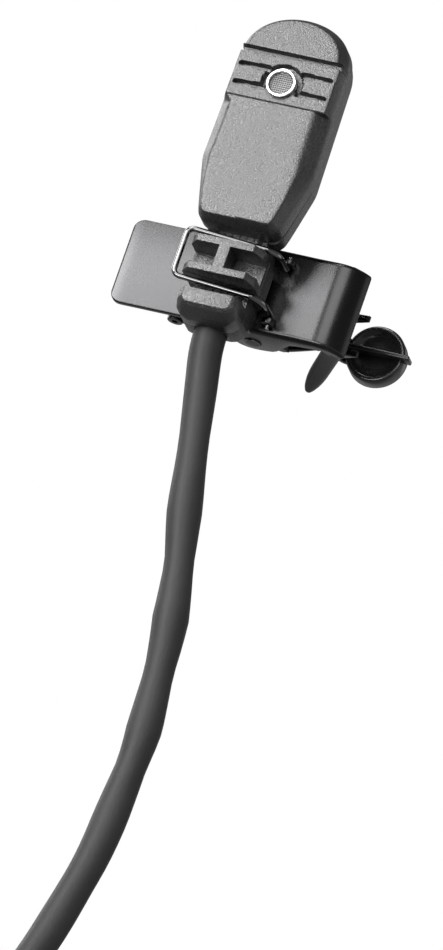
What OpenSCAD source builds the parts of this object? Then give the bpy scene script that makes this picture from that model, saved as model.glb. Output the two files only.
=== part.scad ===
// Lavalier microphone on a sprung clothing clip, hanging upright as it is worn.
// Millimetres. +Z runs up the microphone, +X along the clip plate to its thumb
// end, +Y towards the wearer. The origin is on the cloth face of the clip plate,
// on the microphone's centre line and at the plate's mid height.

/* [Microphone head] */
// Greatest width of the head
head_w = 10.7; // [10:0.1:13]
// Front face to back face
head_t = 7; // [6.8:0.1:9]
// Rounded top to the foot of the head
head_l = 21.7; // [20:0.1:27]
// Front face to the parting line between the two shells
parting_d = 3.3; // [3:0.1:3.8]
// Wall left between the capsule chamber and the front face
front_wall = 0.9; // [0.7:0.05:1.1]
// Sound port below the top of the head
port_drop = 7.2; // [6.6:0.1:8.4]
// Width of the moulded grooves across the face
groove_w = 0.45; // [0.3:0.05:0.6]

/* [Neck and cord collar] */
// Width of the neck inside the bail
neck_w = 5.4; // [4.6:0.1:6]
// Width of the H-shaped keeper block
block_w = 7; // [6.4:0.1:7.4]
// Height of the keeper block
block_h = 3.65; // [3:0.05:4]
// Groove between the block and the head
upper_groove_h = 1.4; // [1.2:0.05:1.8]
// Groove between the block and the collar
lower_groove_h = 1.75; // [1.4:0.05:2.6]
// Height of the cord collar
collar_h = 2.4; // [2.2:0.05:4]

/* [Capsule] */
// Diameter of the electret capsule
capsule_d = 6; // [5:0.1:6.4]
// Length of the capsule
capsule_l = 2.5; // [2.2:0.1:3]
// Outside diameter of the port ring
port_ring_d = 3; // [2.6:0.1:3.3]
// Bore of the port ring
port_bore_d = 2.2; // [1.8:0.1:2.3]
// How far the port ring stands proud of the face
port_proud = 0.4; // [0.2:0.05:0.6]

/* [Clip] */
// Length of the flat of the clip plate
plate_flat_l = 19.3; // [18:0.1:24]
// Width of the clip plate
plate_w = 8.5; // [8:0.1:10.5]
// Sheet thickness of the plate and the jaw
sheet_t = 0.6; // [0.5:0.05:0.7]
// Outside radius of the bend at the thumb end
bend_r = 3.8; // [3:0.1:4.4]
// Diameter of the pivot pin
pin_d = 1; // [0.8:0.05:1.1]
// Width of the jaw between the ears
jaw_w = 6.8; // [5.8:0.1:6.9]
// Diameter of the thumb pad
thumb_d = 5.6; // [4.8:0.1:6.4]
// Wire diameter of the torsion spring
spring_wire_d = 0.4; // [0.3:0.05:0.45]
// Whole turns in the torsion spring
spring_turns = 4; // [3:1:4]

/* [Bail] */
// Wire diameter of the bail
bail_wire_d = 0.5; // [0.4:0.05:0.55]

/* [Cord] */
// Diameter of the cord
cord_d = 3.1; // [2.6:0.1:3.2]
// Clear gap between neighbouring turns of the coil
coil_gap = 0.55; // [0.5:0.05:0.9]
// Radius of the outermost turn, on the cord's centre line
coil_outer_r = 22.4; // [20:0.2:26]
// Whole turns in the coil
coil_turns = 12; // [8:1:12]

/* [Plug] */
// Diameter of the plug shaft
shaft_d = 3.5; // [3.4:0.1:3.6]
// Length of the plug shaft from its flange to its tip
shaft_l = 14; // [13:0.5:16]
// Diameter of the plug cover
cover_d = 8; // [7:0.2:9]
// Length of the plug cover
cover_l = 15; // [12:0.5:20]
// Length of the flexible boot behind the cover
boot_l = 11; // [8:0.5:16]

/* [Hidden] */

$fn = 48;
round_fn = 32;
arc_step = 9;
sliver = 0.01;
cut = 0.5;

// Fits and clearances between pieces
fit = 0.05;
pin_fit = 0.02;
running_fit = 0.05;
piece_gap = 0.1;
moving_gap = 0.15;

// Depths are counted back from the microphone's front face
y_front = -sheet_t - head_t;
function depth(d) = y_front + d;
y_back = -sheet_t;
y_parting = depth(parting_d);
bevel_d = 1.15;
back_round = 1.4;
shoulder_d = 3.9;
cord_y = depth(4.3);

// Heights, stacked up and down from the keeper block
block_top = 1.35;
block_foot = block_top - block_h;
head_foot = block_top + upper_groove_h;
head_top = head_foot + head_l;
collar_top = block_foot - lower_groove_h;
collar_foot = collar_top - collar_h;
port_z = head_top - port_drop;

// Head outline
head_side = head_w / 2;
arch_side = head_side - 0.25;
arch_h = 4.1;
arch_power = 2.05;
hip_z = head_foot + 6.2;
waist_z = head_foot + 2.5;
ankle_z = head_foot + 1.3;
waist_side = head_side - 0.95;
ankle_side = head_side - 1.3;
foot_side = head_side - 1.75;
step_z = port_z - 2;
band_top = port_z + 3.25;
step_d = 0.12;
band_side = head_side - 0.45;
side_step = 0.12;
line_h = 0.14;

// Keeper block and neck
block_face_w = 5.5;
web_w = 1.15;
block_flange = 0.85;
recess_d = 2.3;
neck_front_d = 2.95;
neck_bevel = 0.8;
wire_bore_r = 0.9;
jacket_top = collar_top - 0.45;

// Capsule stack, from the front to the back
chamber_wall = 0.55;
boot_r = capsule_d / 2 + chamber_wall;
chamber_r = boot_r + piece_gap;
y_chamber = depth(front_wall);
boot_front = y_chamber + piece_gap;
boot_lip = 0.45;
can_front = boot_front + boot_lip + fit;
can_wall = 0.15;
can_back = can_front + capsule_l;
stack_r = capsule_d / 2 - can_wall - fit;
ring_y = can_front + can_wall + fit;
ring_t = 0.3;
film_y = ring_y + ring_t;
film_t = 0.04;
spacer_y = film_y + film_t;
spacer_t = 0.08;
backplate_y = spacer_y + spacer_t + 0.02;
backplate_t = 0.3;
board_t = 0.4;
board_y = can_back - board_t;

// Clip
pivot = [2.2, 2.2];
ear_r = 1.45;
plate_x0 = -11.4;
bend_x = plate_x0 + plate_flat_l;
bend_angle = 62;
ear_in = plate_w / 2 - sheet_t;
jaw_half = min(jaw_w / 2, ear_in - moving_gap);
jaw_wall_in = jaw_half - sheet_t;
neck_half = 2.1;
tongue_half = 1.2;
curl_r = 0.6;
curl_at = [-5.1, curl_r + moving_gap];
tip_half = plate_w / 2 - 0.15;
// Bends of the jaw's web, from the curled tip to the thumb pad
jaw_path = [
    [-4.8, 1.25], [-1.2, 2.9], [1, 4.15], [4.2, 4.75], [7.6, 6.1], [8.2, 10.1], [12.8, 10.1]
];
thumb_at = [11.35, 9];
thumb_t = 1.8;

// Torsion spring
spring_r = 1.05;
spring_pitch = spring_wire_d + 0.45;
spring_start = 35;
spring_end = 315;
spring_leg = 3;
spring_leg_end = 4.2;

// Bail: the wire's centre line in plan, from the crossbar to the hinge
bail_r = bail_wire_d / 2;
bail_hinge = [4.2, -1.2];
bail_bar = [-4.3, -6.35];
bail_top_z = block_top + 0.5 + bail_r;
bail_low_z = block_foot - 0.15 - bail_r;
bail_corner = 0.6;
bail_bend_from = [2.5, -5.02];
bail_bend_to = [4.2, -3.2];
bail_ear_in = 0.35;
bail_ear_t = 0.55;
bail_ear_r = 0.7;
bail_end = 0.35;

// Route of the free cord from the collar, one point about every two diameters
cord_route = [
    [0, cord_y, jacket_top], [0, cord_y, collar_foot], [0.2, cord_y, -8.6],
    [0.9, cord_y, -12], [2.1, cord_y, -18], [3.3, cord_y, -24], [4.6, cord_y, -29.8],
    [5.6, cord_y, -35.7], [6.2, cord_y, -41.7], [6.5, cord_y, -46.5],
    [6.3, cord_y, -52], [5.9, cord_y, -57.5], [5.1, cord_y, -62],
    [4.1, -3.5, -66.8], [3.3, -4.2, -70.6], [2.8, -5.2, -74.2]
];

// Coil, put away on the end of the cord
coil_at = [-1.1, -0.6, -108.5];
coil_step = 15;
coil_pitch = cord_d + coil_gap;
coil_layers = 4;
coil_from = 105;
coil_extra = 45;
coil_sweep = 360 * coil_turns + coil_extra;
coil_layer_sweep = coil_sweep / coil_layers;
coil_count = floor(coil_sweep / coil_step);
lead_bend_r = 9;
tail_bend_r = 8;
tie_angle = 128;
tie_w = 6;
tie_t = 1;
tie_room = 0.35;

// Plug
flange_d = 5.6;
flange_l = 1;
sleeve_l = 5.4;
ring_l = 2.6;
insulator_l = 0.7;
insulator_r = shaft_d / 2 - 0.3;
rod_r = 0.45;
tube_r = 1.15;
cover_wall = 0.9;
boot_neck_r = cord_d / 2 + 1.1;
boot_flange_r = cover_d / 2 - cover_wall - 0.2;
sleeve_seat_r = cover_d / 2 - cover_wall - fit;

// ---------------------------------------------------------------- helpers

// A flat shape drawn in X and Z, given a thickness along Y
module slab(y0, y1) {
    translate([0, y1, 0])
        rotate([90, 0, 0])
            linear_extrude(y1 - y0)
                children();
}

// A cylinder along +Y
module disc(r, y0, y1, z = 0, x = 0) {
    translate([x, y1, z])
        rotate([90, 0, 0])
            cylinder(r = r, h = y1 - y0);
}

// A ring along +Y
module washer(r_out, r_in, y0, y1, z = 0) {
    difference() {
        disc(r_out, y0, y1, z);
        disc(r_in, y0 - cut, y1 + cut, z);
    }
}

// A box between two corners
module block(low, high) {
    translate(low)
        cube(high - low);
}

function unit(v) = v / norm(v);
function last(list) = len(list) - 1;
function heading(path, i) =
    unit(path[min(i + 1, last(path))] - path[max(i - 1, 0)]);
function across(t, side) = unit(side - (side * t) * t);
function reversed(list) = [for (i = [last(list):-1:0]) list[i]];

// Outline of a bent strip of sheet in plan, with square mitres at its bends
function ribbon_side(path, d) = [
    for (i = [0:last(path)])
        let (
            a = unit(path[min(i + 1, last(path))] - path[min(i, last(path) - 1)]),
            b = unit(path[max(i, 1)] - path[max(i - 1, 0)]),
            n = unit([-a[1] - b[1], a[0] + b[0]])
        )
            path[i] + d / (n * [-a[1], a[0]]) * n
];
function ribbon(path, t) =
    concat(ribbon_side(path, t / 2), reversed(ribbon_side(path, -t / 2)));

// Points round a path: one ring of corners at every point
function rings(path, r, sides, side) = [
    for (i = [0:last(path)])
        let (t = heading(path, i), n = across(t, side), b = cross(t, n))
            for (k = [0:sides - 1])
                path[i] + r * (cos(360 * k / sides) * n + sin(360 * k / sides) * b)
];

// One unbroken tube along a path, closed at both ends
module tube(path, r, sides, side) {
    count = len(path);
    walls = [
        for (i = [0:count - 2], k = [0:sides - 1])
            let (a = i * sides + k, b = i * sides + (k + 1) % sides)
                each [[a, a + sides, b], [b, a + sides, b + sides]]
    ];
    start = [for (k = [1:sides - 2]) [0, k, k + 1]];
    e = (count - 1) * sides;
    end = [for (k = [1:sides - 2]) [e, e + k + 1, e + k]];
    polyhedron(points = rings(path, r, sides, side), faces = concat(walls, start, end));
}

// ------------------------------------------------------------ microphone

// Outline of the head, drawn in from its edge
function rounded(x) = sign(x) * pow(abs(x), 2 / arch_power);
function head_arc(inset) = [
    for (a = [0:arc_step:180])
        [(arch_side - inset) * rounded(cos(a)),
         head_top - arch_h + (arch_h - inset) * rounded(sin(a))]
];
function head_left(inset) = [
    [-(head_side - inset), hip_z],
    [-(waist_side - inset), waist_z],
    [-(ankle_side - inset), ankle_z],
    [-(foot_side - inset), head_foot + inset]
];
function mirrored(points) = [for (i = [last(points):-1:0]) [-points[i][0], points[i][1]]];
function head_outline(inset) =
    concat(head_arc(inset), head_left(inset), mirrored(head_left(inset)));

// Half width of the head between its widest line and its round top
function side_at(z) =
    head_side + (arch_side - head_side) * (z - hip_z) / (head_top - arch_h - hip_z);

// Flat lower face, narrowing towards the foot
module lower_face() {
    polygon([
        [-(side_at(step_z) - 1.3), step_z], [-(head_side - 1.35), hip_z + 1],
        [-(waist_side - 0.65), waist_z + 0.9], [-(ankle_side - 0.8), ankle_z + 0.1],
        [-(foot_side - 0.5), head_foot + 0.85], [foot_side - 0.5, head_foot + 0.85],
        [ankle_side - 0.8, ankle_z + 0.1], [waist_side - 0.65, waist_z + 0.9],
        [head_side - 1.35, hip_z + 1], [side_at(step_z) - 1.3, step_z]
    ]);
}

module lower_outline() {
    polygon(concat(
        [[side_at(step_z), step_z], [-side_at(step_z), step_z]],
        head_left(0), mirrored(head_left(0))
    ));
}

module band(half_low, half_top) {
    polygon([
        [half_low, step_z], [half_top, band_top], [-half_top, band_top], [-half_low, step_z]
    ]);
}

module cap(inset) {
    intersection() {
        polygon(head_outline(inset));
        translate([-head_w, band_top])
            square([2 * head_w, head_top]);
    }
}

module front_bevels() {
    hull() {
        slab(depth(step_d), depth(step_d) + sliver) lower_face();
        slab(depth(bevel_d) - sliver, depth(bevel_d)) lower_outline();
    }
    hull() {
        slab(y_front, y_front + sliver) band(band_side, band_side - 0.1);
        slab(depth(bevel_d) - sliver, depth(bevel_d))
            band(side_at(step_z), side_at(band_top));
    }
    hull() {
        slab(y_front, y_front + sliver) cap(1);
        slab(depth(bevel_d) - sliver, depth(bevel_d)) cap(0);
    }
}

// Three moulded grooves; the lower two stop short of the port and the edges
module face_grooves() {
    block([-head_w, y_front - cut, band_top - 0.5], [head_w, depth(0.45), band_top]);
    for (s = [-1, 1], z = [port_z + 1.4, port_z - 0.5]) {
        inner = port_ring_d / 2 + 0.35 + groove_w / 2;
        outer = band_side - 0.55;
        block(
            [min(s * inner, s * outer), y_front - cut, z - groove_w / 2],
            [max(s * inner, s * outer), depth(0.4), z + groove_w / 2]
        );
        disc(groove_w / 2, y_front - cut, depth(0.4), z, s * outer);
    }
}

// The neck between the head and the collar, between two places along Y
module neck_core(y0, y1) {
    half = neck_w / 2;
    side_y = depth(neck_front_d + neck_bevel);
    intersection() {
        translate([0, 0, collar_top - cut])
            linear_extrude(head_foot - collar_top + 2 * cut)
                polygon([
                    [-half, y_back], [-half, side_y],
                    [-half + neck_bevel, depth(neck_front_d)],
                    [half - neck_bevel, depth(neck_front_d)],
                    [half, side_y], [half, y_back]
                ]);
        block([-neck_w, y0, collar_top - cut], [neck_w, y1, head_foot + cut]);
    }
}

module block_front() {
    half = block_w / 2;
    face = block_face_w / 2;
    difference() {
        hull() {
            block([-face, y_front, block_foot + 0.1], [face, depth(bevel_d), block_top - 0.1]);
            block([-half, depth(bevel_d), block_foot], [half, y_parting, block_top]);
        }
        for (s = [-1, 1])
            block(
                [s > 0 ? web_w / 2 : -half - cut, y_front - cut, block_foot + block_flange],
                [s > 0 ? half + cut : -web_w / 2, depth(recess_d), block_top - block_flange]
            );
    }
}

module collar_front() {
    half = block_w / 2;
    hull() {
        block([-2.25, y_front, collar_foot + 1.1], [2.25, y_front + sliver, collar_top]);
        block([-half, depth(2.2), collar_foot + 0.7], [half, y_parting, collar_top]);
        block([-half + 1, depth(2.5), collar_foot], [half - 1, y_parting, collar_top]);
    }
}

// Everything hollow inside the two shells
module inside_space() {
    disc(chamber_r, y_chamber, y_back - 1.1, port_z);
    block([-1.5, y_parting - 0.6, head_foot + 3], [1.5, y_back - 1.1, port_z]);
    translate([0, cord_y, collar_top - cut])
        cylinder(r = wire_bore_r, h = head_foot - collar_top + 4);
    translate([0, cord_y, collar_foot - cut])
        cylinder(r = cord_d / 2 + fit, h = jacket_top - collar_foot + cut + fit);
    translate([0, cord_y, jacket_top - fit])
        cylinder(r = wire_bore_r, h = 2);
    translate([0, cord_y, crimp_low - fit])
        cylinder(r = crimp_r + fit, h = crimp_h + 2 * fit);
}
crimp_r = cord_d / 2 + 0.4;
crimp_h = 1;
crimp_low = jacket_top - 0.3 - crimp_h;
dowel_r = 0.45;
dowel_x = 2.7;
dowel_z = head_foot + 6;

module front_shell() {
    color([0.09, 0.09, 0.10])
    difference() {
        union() {
            slab(depth(bevel_d), y_parting - line_h) polygon(head_outline(0));
            slab(y_parting - 2 * line_h, y_parting) polygon(head_outline(side_step));
            front_bevels();
            neck_core(y_front, y_parting);
            block_front();
            collar_front();
        }
        face_grooves();
        inside_space();
        disc(port_ring_d / 2 + 0.2, y_front - cut, depth(0.3), port_z);
        disc(port_bore_d / 2 + 0.25 + fit, y_front - cut, depth(2), port_z);
        for (s = [-1, 1])
            disc(dowel_r + fit, y_parting - 1.1, y_parting + cut, dowel_z, s * dowel_x);
    }
}

module rear_shell() {
    back_d = head_t - back_round;
    half = block_w / 2;
    color([0.08, 0.08, 0.09])
    difference() {
        union() {
            slab(y_parting + line_h, depth(shoulder_d)) polygon(head_outline(0));
            slab(y_parting, y_parting + 2 * line_h) polygon(head_outline(side_step));
            hull() {
                slab(depth(shoulder_d), depth(shoulder_d) + sliver) polygon(head_outline(0));
                slab(depth(back_d), depth(back_d) + sliver) polygon(head_outline(0.65));
                slab(y_back - sliver, y_back) polygon(head_outline(1.6));
            }
            neck_core(y_parting, y_back);
            hull() {
                block([-half, y_parting, block_foot], [half, depth(back_d), block_top]);
                block([-half + 0.7, y_parting, block_foot], [half - 0.7, y_back, block_top]);
            }
            hull() {
                block([-half, y_parting, collar_foot + 0.7], [half, depth(4.4), collar_top]);
                block([-half + 1, y_parting, collar_foot], [half - 1, depth(5), collar_top]);
                block([-1.9, y_parting, collar_foot + 1.3], [1.9, y_back, collar_top]);
            }
            for (s = [-1, 1])
                disc(dowel_r, y_parting - 1, y_parting + cut, dowel_z, s * dowel_x);
        }
        inside_space();
    }
}

module port_ring() {
    flange_back = depth(0.3);
    color([0.78, 0.79, 0.80])
    difference() {
        union() {
            disc(port_ring_d / 2, y_front - port_proud, flange_back, port_z);
            disc(port_bore_d / 2 + 0.25, flange_back - sliver, y_chamber, port_z);
        }
        disc(port_bore_d / 2, y_front - port_proud - cut, y_chamber + cut, port_z);
        // Countersunk mouth
        translate([0, y_front - port_proud + 0.15, port_z])
            rotate([90, 0, 0])
                cylinder(r1 = port_bore_d / 2, r2 = port_bore_d / 2 + 0.2, h = 0.2);
    }
}

mesh_y = depth(0.1);
mesh_t = 0.12;
mesh_pitch = 0.3;
mesh_hole = 0.18;

module port_mesh() {
    r = port_bore_d / 2 - 0.02;
    steps = floor(r / mesh_pitch);
    color([0.62, 0.63, 0.64])
    difference() {
        disc(r, mesh_y, mesh_y + mesh_t, port_z);
        for (i = [-steps:steps], k = [-steps:steps])
            if (norm([i, k]) * mesh_pitch < r - mesh_hole)
                translate([i * mesh_pitch - mesh_hole / 2, mesh_y - cut,
                           port_z + k * mesh_pitch - mesh_hole / 2])
                    cube([mesh_hole, mesh_t + 2 * cut, mesh_hole]);
    }
}

module port_felt() {
    color([0.16, 0.16, 0.17])
    disc(port_bore_d / 2 - 0.02, mesh_y + mesh_t, y_chamber, port_z);
}

module capsule_boot() {
    color([0.12, 0.12, 0.12])
    difference() {
        disc(boot_r, boot_front, can_back - 0.3, port_z);
        disc(capsule_d / 2 + fit, can_front - fit, can_back, port_z);
        disc(port_bore_d / 2 + 0.3, boot_front - cut, can_front, port_z);
    }
}

module capsule_can() {
    holes = 6;
    color([0.72, 0.73, 0.74])
    difference() {
        disc(capsule_d / 2, can_front, can_back, port_z);
        disc(capsule_d / 2 - can_wall, can_front + can_wall, can_back + cut, port_z);
        for (k = [0:holes - 1])
            disc(0.2, can_front - cut, can_front + cut,
                 port_z + 0.7 * sin(360 * k / holes), 0.7 * cos(360 * k / holes));
    }
}

module diaphragm_ring() {
    color([0.75, 0.62, 0.32])
    washer(stack_r, stack_r - 0.45, ring_y, film_y, port_z);
}

module diaphragm() {
    color([0.85, 0.72, 0.35])
    disc(stack_r, film_y, film_y + film_t, port_z);
}

module spacer_ring() {
    color([0.85, 0.85, 0.80])
    washer(stack_r, stack_r - 0.4, spacer_y, spacer_y + spacer_t, port_z);
}

module backplate() {
    holes = 4;
    color([0.70, 0.66, 0.50])
    difference() {
        disc(stack_r - 0.35, backplate_y, backplate_y + backplate_t, port_z);
        for (k = [0:holes - 1])
            disc(0.15, backplate_y - cut, backplate_y + cut,
                 port_z + 1.1 * sin(360 * k / holes), 1.1 * cos(360 * k / holes));
    }
}

module capsule_insulator() {
    color([0.90, 0.90, 0.86])
    washer(stack_r, stack_r - 0.28, backplate_y, board_y, port_z);
}

module contact_ring() {
    color([0.80, 0.66, 0.34])
    washer(stack_r - 0.4, stack_r - 0.65, backplate_y + backplate_t, board_y, port_z);
}

module jfet() {
    size = [1.3, 0.55, 1];
    color([0.07, 0.07, 0.07])
    block([-size[0] / 2, board_y - size[1], port_z - size[2] / 2],
          [size[0] / 2, board_y, port_z + size[2] / 2]);
}

pad_x = 0.9;
pad_drop = 1.2;
pad_t = 0.15;

module capsule_board() {
    color([0.12, 0.30, 0.16]) {
        disc(stack_r, board_y, can_back, port_z);
        for (s = [-1, 1])
            disc(0.45, can_back - sliver, can_back + pad_t, port_z - pad_drop, s * pad_x);
    }
}

wire_r = 0.3;

// A lead from the cord's end, through the neck and up to its pad on the board
module lead(s) {
    pad_y = can_back + pad_t;
    tube([
        [s * 0.42, cord_y, jacket_top],
        [s * 0.42, cord_y, head_foot + 2],
        [s * 0.55, cord_y + 0.5, head_foot + 5],
        [s * pad_x, pad_y + 0.75, port_z - 4],
        [s * pad_x, pad_y + 0.75, port_z - 2.2],
        [s * pad_x, pad_y + 0.5, port_z - 1.5],
        [s * pad_x, pad_y + 0.2, port_z - pad_drop]
    ], wire_r, 8, [1, 0, 0]);
}

module signal_wire() {
    color([0.75, 0.12, 0.10])
    lead(1);
}

module ground_wire() {
    color([0.72, 0.45, 0.25])
    lead(-1);
}

module crimp_ring() {
    color([0.70, 0.70, 0.68])
    translate([0, cord_y, crimp_low])
        difference() {
            cylinder(r = crimp_r, h = crimp_h);
            translate([0, 0, -cut])
                cylinder(r = cord_d / 2 + 0.02, h = crimp_h + 2 * cut);
        }
}

// ------------------------------------------------------------------ clip

horn_from = 31;
horn_to = 57;
horn_tip = [7.45, 8.2];
horn_flare = 0.95;
horn_root_r = sheet_t / 2 - 0.06;
horn_tip_r = 0.5;
mid_bend_r = bend_r - sheet_t / 2;
function bend_point(a, r) = [bend_x + r * sin(a), bend_r - sheet_t - r * cos(a)];

// A pointed horn, bent back from the edge of the plate's curved end
module horn() {
    root_z = -plate_w / 2;
    hull() {
        for (a = [horn_from, horn_to])
            translate([each bend_point(a, mid_bend_r), root_z])
                cylinder(r = horn_root_r, h = sheet_t, $fn = round_fn);
        translate([horn_tip[0], horn_tip[1], root_z - horn_flare])
            cylinder(r = horn_tip_r, h = sheet_t, $fn = round_fn);
    }
}

// Ear and skirt along one edge of the plate, drawn in plan
module ear_outline() {
    skirt_y = 1;
    translate(pivot)
        circle(r = ear_r);
    polygon([
        [pivot[0] - ear_r - 2, -sheet_t], bend_point(horn_from, bend_r),
        bend_point(horn_from, mid_bend_r) + [0, skirt_y + 0.2], [pivot[0] + 3.8, skirt_y],
        [pivot[0] + 2.1, pivot[1] + 1.25], [pivot[0], pivot[1] + ear_r],
        [pivot[0] - ear_r + 0.2, pivot[1] + 0.75]
    ]);
}

corner_r = 1.1;

module plate_flat() {
    half = plate_w / 2;
    block([plate_x0 + corner_r, -sheet_t, -half], [bend_x + sliver, 0, half]);
    block([plate_x0, -sheet_t, -half + corner_r], [plate_x0 + 2 * corner_r, 0, half - corner_r]);
    for (s = [-1, 1])
        disc(corner_r, -sheet_t, 0, s * (half - corner_r), plate_x0 + corner_r);
}

module plate_bend() {
    centre = [bend_x, bend_r - sheet_t];
    far = 3 * bend_r;
    translate([centre[0], centre[1], -plate_w / 2])
        difference() {
            cylinder(r = bend_r, h = plate_w);
            translate([0, 0, -cut])
                cylinder(r = bend_r - sheet_t, h = plate_w + 2 * cut);
            // Only the stretch from straight down round to the bend angle stays
            translate([-far, -far, -cut])
                cube([far, 2 * far, plate_w + 2 * cut]);
            rotate([0, 0, bend_angle - 90])
                translate([0, 0, -cut])
                    cube([far, far, plate_w + 2 * cut]);
            translate([0, sliver, -cut])
                cube([far, far, plate_w + 2 * cut]);
        }
}

// A lug on the face of the plate that carries one end of the bail
module bail_ear(z) {
    translate([0, 0, z]) {
        translate([bail_hinge[0], bail_hinge[1], 0])
            cylinder(r = bail_ear_r, h = bail_ear_t);
        block([bail_hinge[0] - bail_ear_r, bail_hinge[1], 0],
              [bail_hinge[0] + bail_ear_r, -sheet_t + sliver, bail_ear_t]);
    }
}

module clip_plate() {
    color([0.13, 0.13, 0.14])
    difference() {
        union() {
            plate_flat();
            plate_bend();
            for (s = [0, 1])
                mirror([0, 0, s]) {
                    translate([0, 0, -plate_w / 2])
                        linear_extrude(sheet_t)
                            ear_outline();
                    horn();
                }
            bail_ear(bail_top_z + bail_ear_in);
            bail_ear(bail_low_z - bail_ear_in - bail_ear_t);
        }
        translate([pivot[0], pivot[1], -plate_w])
            cylinder(r = pin_d / 2 + pin_fit, h = 2 * plate_w);
        translate([bail_hinge[0], bail_hinge[1], -plate_w])
            cylinder(r = bail_r + running_fit, h = 2 * plate_w);
    }
}

module pivot_pin() {
    head_h = 0.35;
    half = plate_w / 2 + pin_fit;
    color([0.30, 0.30, 0.31])
    translate([pivot[0], pivot[1], 0]) {
        translate([0, 0, -half - head_h])
            cylinder(r = pin_d / 2, h = 2 * half + 2 * head_h);
        for (s = [0, 1])
            mirror([0, 0, s])
                translate([0, 0, half])
                    cylinder(r = pin_d / 2 + 0.35, h = head_h);
    }
}

module jaw_wall_outline() {
    polygon([
        [pivot[0] - 1.6, pivot[1] + 1], [pivot[0] - 0.8, pivot[1] - 0.9],
        [pivot[0] + 0.8, pivot[1] - 0.9], [pivot[0] + 1.7, pivot[1] + 0.6],
        jaw_path[3] + [0.7, 0.2], jaw_path[3], jaw_path[2]
    ]);
}

// Small pointed flange beside the jaw's neck
module neck_tip_outline() {
    polygon([[6.8, 5.7], [8.2, 5.75], [10.9, 5.45], [11.05, 5.7], [8.9, 6.9], [8, 6.3]]);
}

// The jaw's web: one bent strip in plan, cut to its widths along the clip
module jaw_web() {
    ends = [jaw_path[3][0] + 0.2, jaw_path[4][0] - 0.3];
    far = thumb_at[0] + thumb_d;
    intersection() {
        translate([0, 0, -plate_w])
            linear_extrude(2 * plate_w)
                polygon(ribbon(jaw_path, sheet_t));
        slab(-bend_r, 4 * bend_r)
            polygon([
                [plate_x0, -tip_half], [jaw_path[1][0], -tip_half], [jaw_path[1][0], -jaw_half],
                [ends[0], -jaw_half], [ends[1], -neck_half], [ends[1], -tongue_half],
                [far, -tongue_half], [far, tongue_half], [ends[1], tongue_half],
                [ends[1], neck_half], [ends[0], jaw_half], [jaw_path[1][0], jaw_half],
                [jaw_path[1][0], tip_half], [plate_x0, tip_half]
            ]);
    }
}

module jaw_lever() {
    color([0.10, 0.10, 0.11])
    difference() {
        union() {
            translate([curl_at[0], curl_at[1], -tip_half])
                cylinder(r = curl_r, h = 2 * tip_half);
            jaw_web();
            for (s = [0, 1])
                mirror([0, 0, s]) {
                    translate([0, 0, jaw_wall_in])
                        linear_extrude(sheet_t)
                            jaw_wall_outline();
                    translate([0, 0, neck_half - sheet_t])
                        linear_extrude(sheet_t)
                            neck_tip_outline();
                }
        }
        translate([curl_at[0], curl_at[1], -plate_w])
            cylinder(r = curl_r - 0.3, h = 2 * plate_w);
        translate([pivot[0], pivot[1], -plate_w])
            cylinder(r = pin_d / 2 + running_fit, h = 2 * plate_w);
    }
}

module thumb_pad() {
    r = thumb_d / 2;
    y0 = thumb_at[1];
    slot_t = sheet_t + 2 * fit;
    tongue_y = jaw_path[6][1];
    rib_reach = r + 0.65;
    color([0.05, 0.05, 0.055])
    difference() {
        union() {
            difference() {
                disc(r, y0, y0 + thumb_t, 0, thumb_at[0]);
                disc(r - 0.5, y0 - cut, y0 + 0.55, 0, thumb_at[0]);
            }
            block([thumb_at[0] - r + 0.1, y0 - 0.75, -0.2], [thumb_at[0] + rib_reach, y0 + 0.6, 0.2]);
        }
        block(
            [thumb_at[0] - r - cut, tongue_y - slot_t / 2, -tongue_half - fit],
            [jaw_path[6][0] + fit, tongue_y + slot_t / 2, tongue_half + fit]
        );
    }
}

// Spring wire: a leg to the plate, the turns round the pin, a leg to the jaw
function spring_point(a, z) =
    [pivot[0] + spring_r * cos(a), pivot[1] + spring_r * sin(a), z];
spring_sweep = 360 * spring_turns + spring_end - spring_start;
spring_h = spring_pitch * spring_sweep / 360;
function spring_turn_points() = [
    for (a = [0:45:spring_sweep - 1])
        spring_point(spring_start + a, spring_pitch * a / 360 - spring_h / 2),
    spring_point(spring_end, spring_h / 2)
];
spring_path = concat(
    [spring_point(spring_start, -spring_h / 2)
        + spring_leg * [sin(spring_start), -cos(spring_start), 0]],
    spring_turn_points(),
    [spring_point(spring_end, spring_h / 2)
        + spring_leg_end * [-sin(spring_end), cos(spring_end), 0]]
);

module torsion_spring() {
    color([0.55, 0.56, 0.58])
    tube(spring_path, spring_wire_d / 2, 6, [0, 0, 1]);
}

// ------------------------------------------------------------------ bail

// Quarter bend between two legs that meet square, in steps
function fillet(corner, from, to, r) = [
    for (a = [0:22.5:90])
        corner + r * ((1 - sin(a)) * unit(from - corner) + (1 - cos(a)) * unit(to - corner))
];
function plan(p, z) = [p[0], p[1], z];

// One leg in plan from the hinge to the crossbar, with its bend round the neck
function leg_points(z) = concat(
    [plan(bail_hinge, z), plan(bail_bend_to, z)],
    [for (a = [22.5:22.5:67.5])
        plan([
            bail_bend_from[0] + (bail_bend_to[0] - bail_bend_from[0]) * cos(a),
            bail_bend_to[1] + (bail_bend_from[1] - bail_bend_to[1]) * sin(a)
        ], z)],
    [plan(bail_bend_from, z)]
);
bail_bar_top = plan(bail_bar, bail_top_z);
bail_bar_low = plan(bail_bar, bail_low_z);
bail_path = concat(
    leg_points(bail_top_z),
    fillet(bail_bar_top, plan(bail_bend_from, bail_top_z), bail_bar_low, bail_corner),
    fillet(bail_bar_low, bail_bar_top, plan(bail_bend_from, bail_low_z), bail_corner),
    reversed(leg_points(bail_low_z))
);

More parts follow.
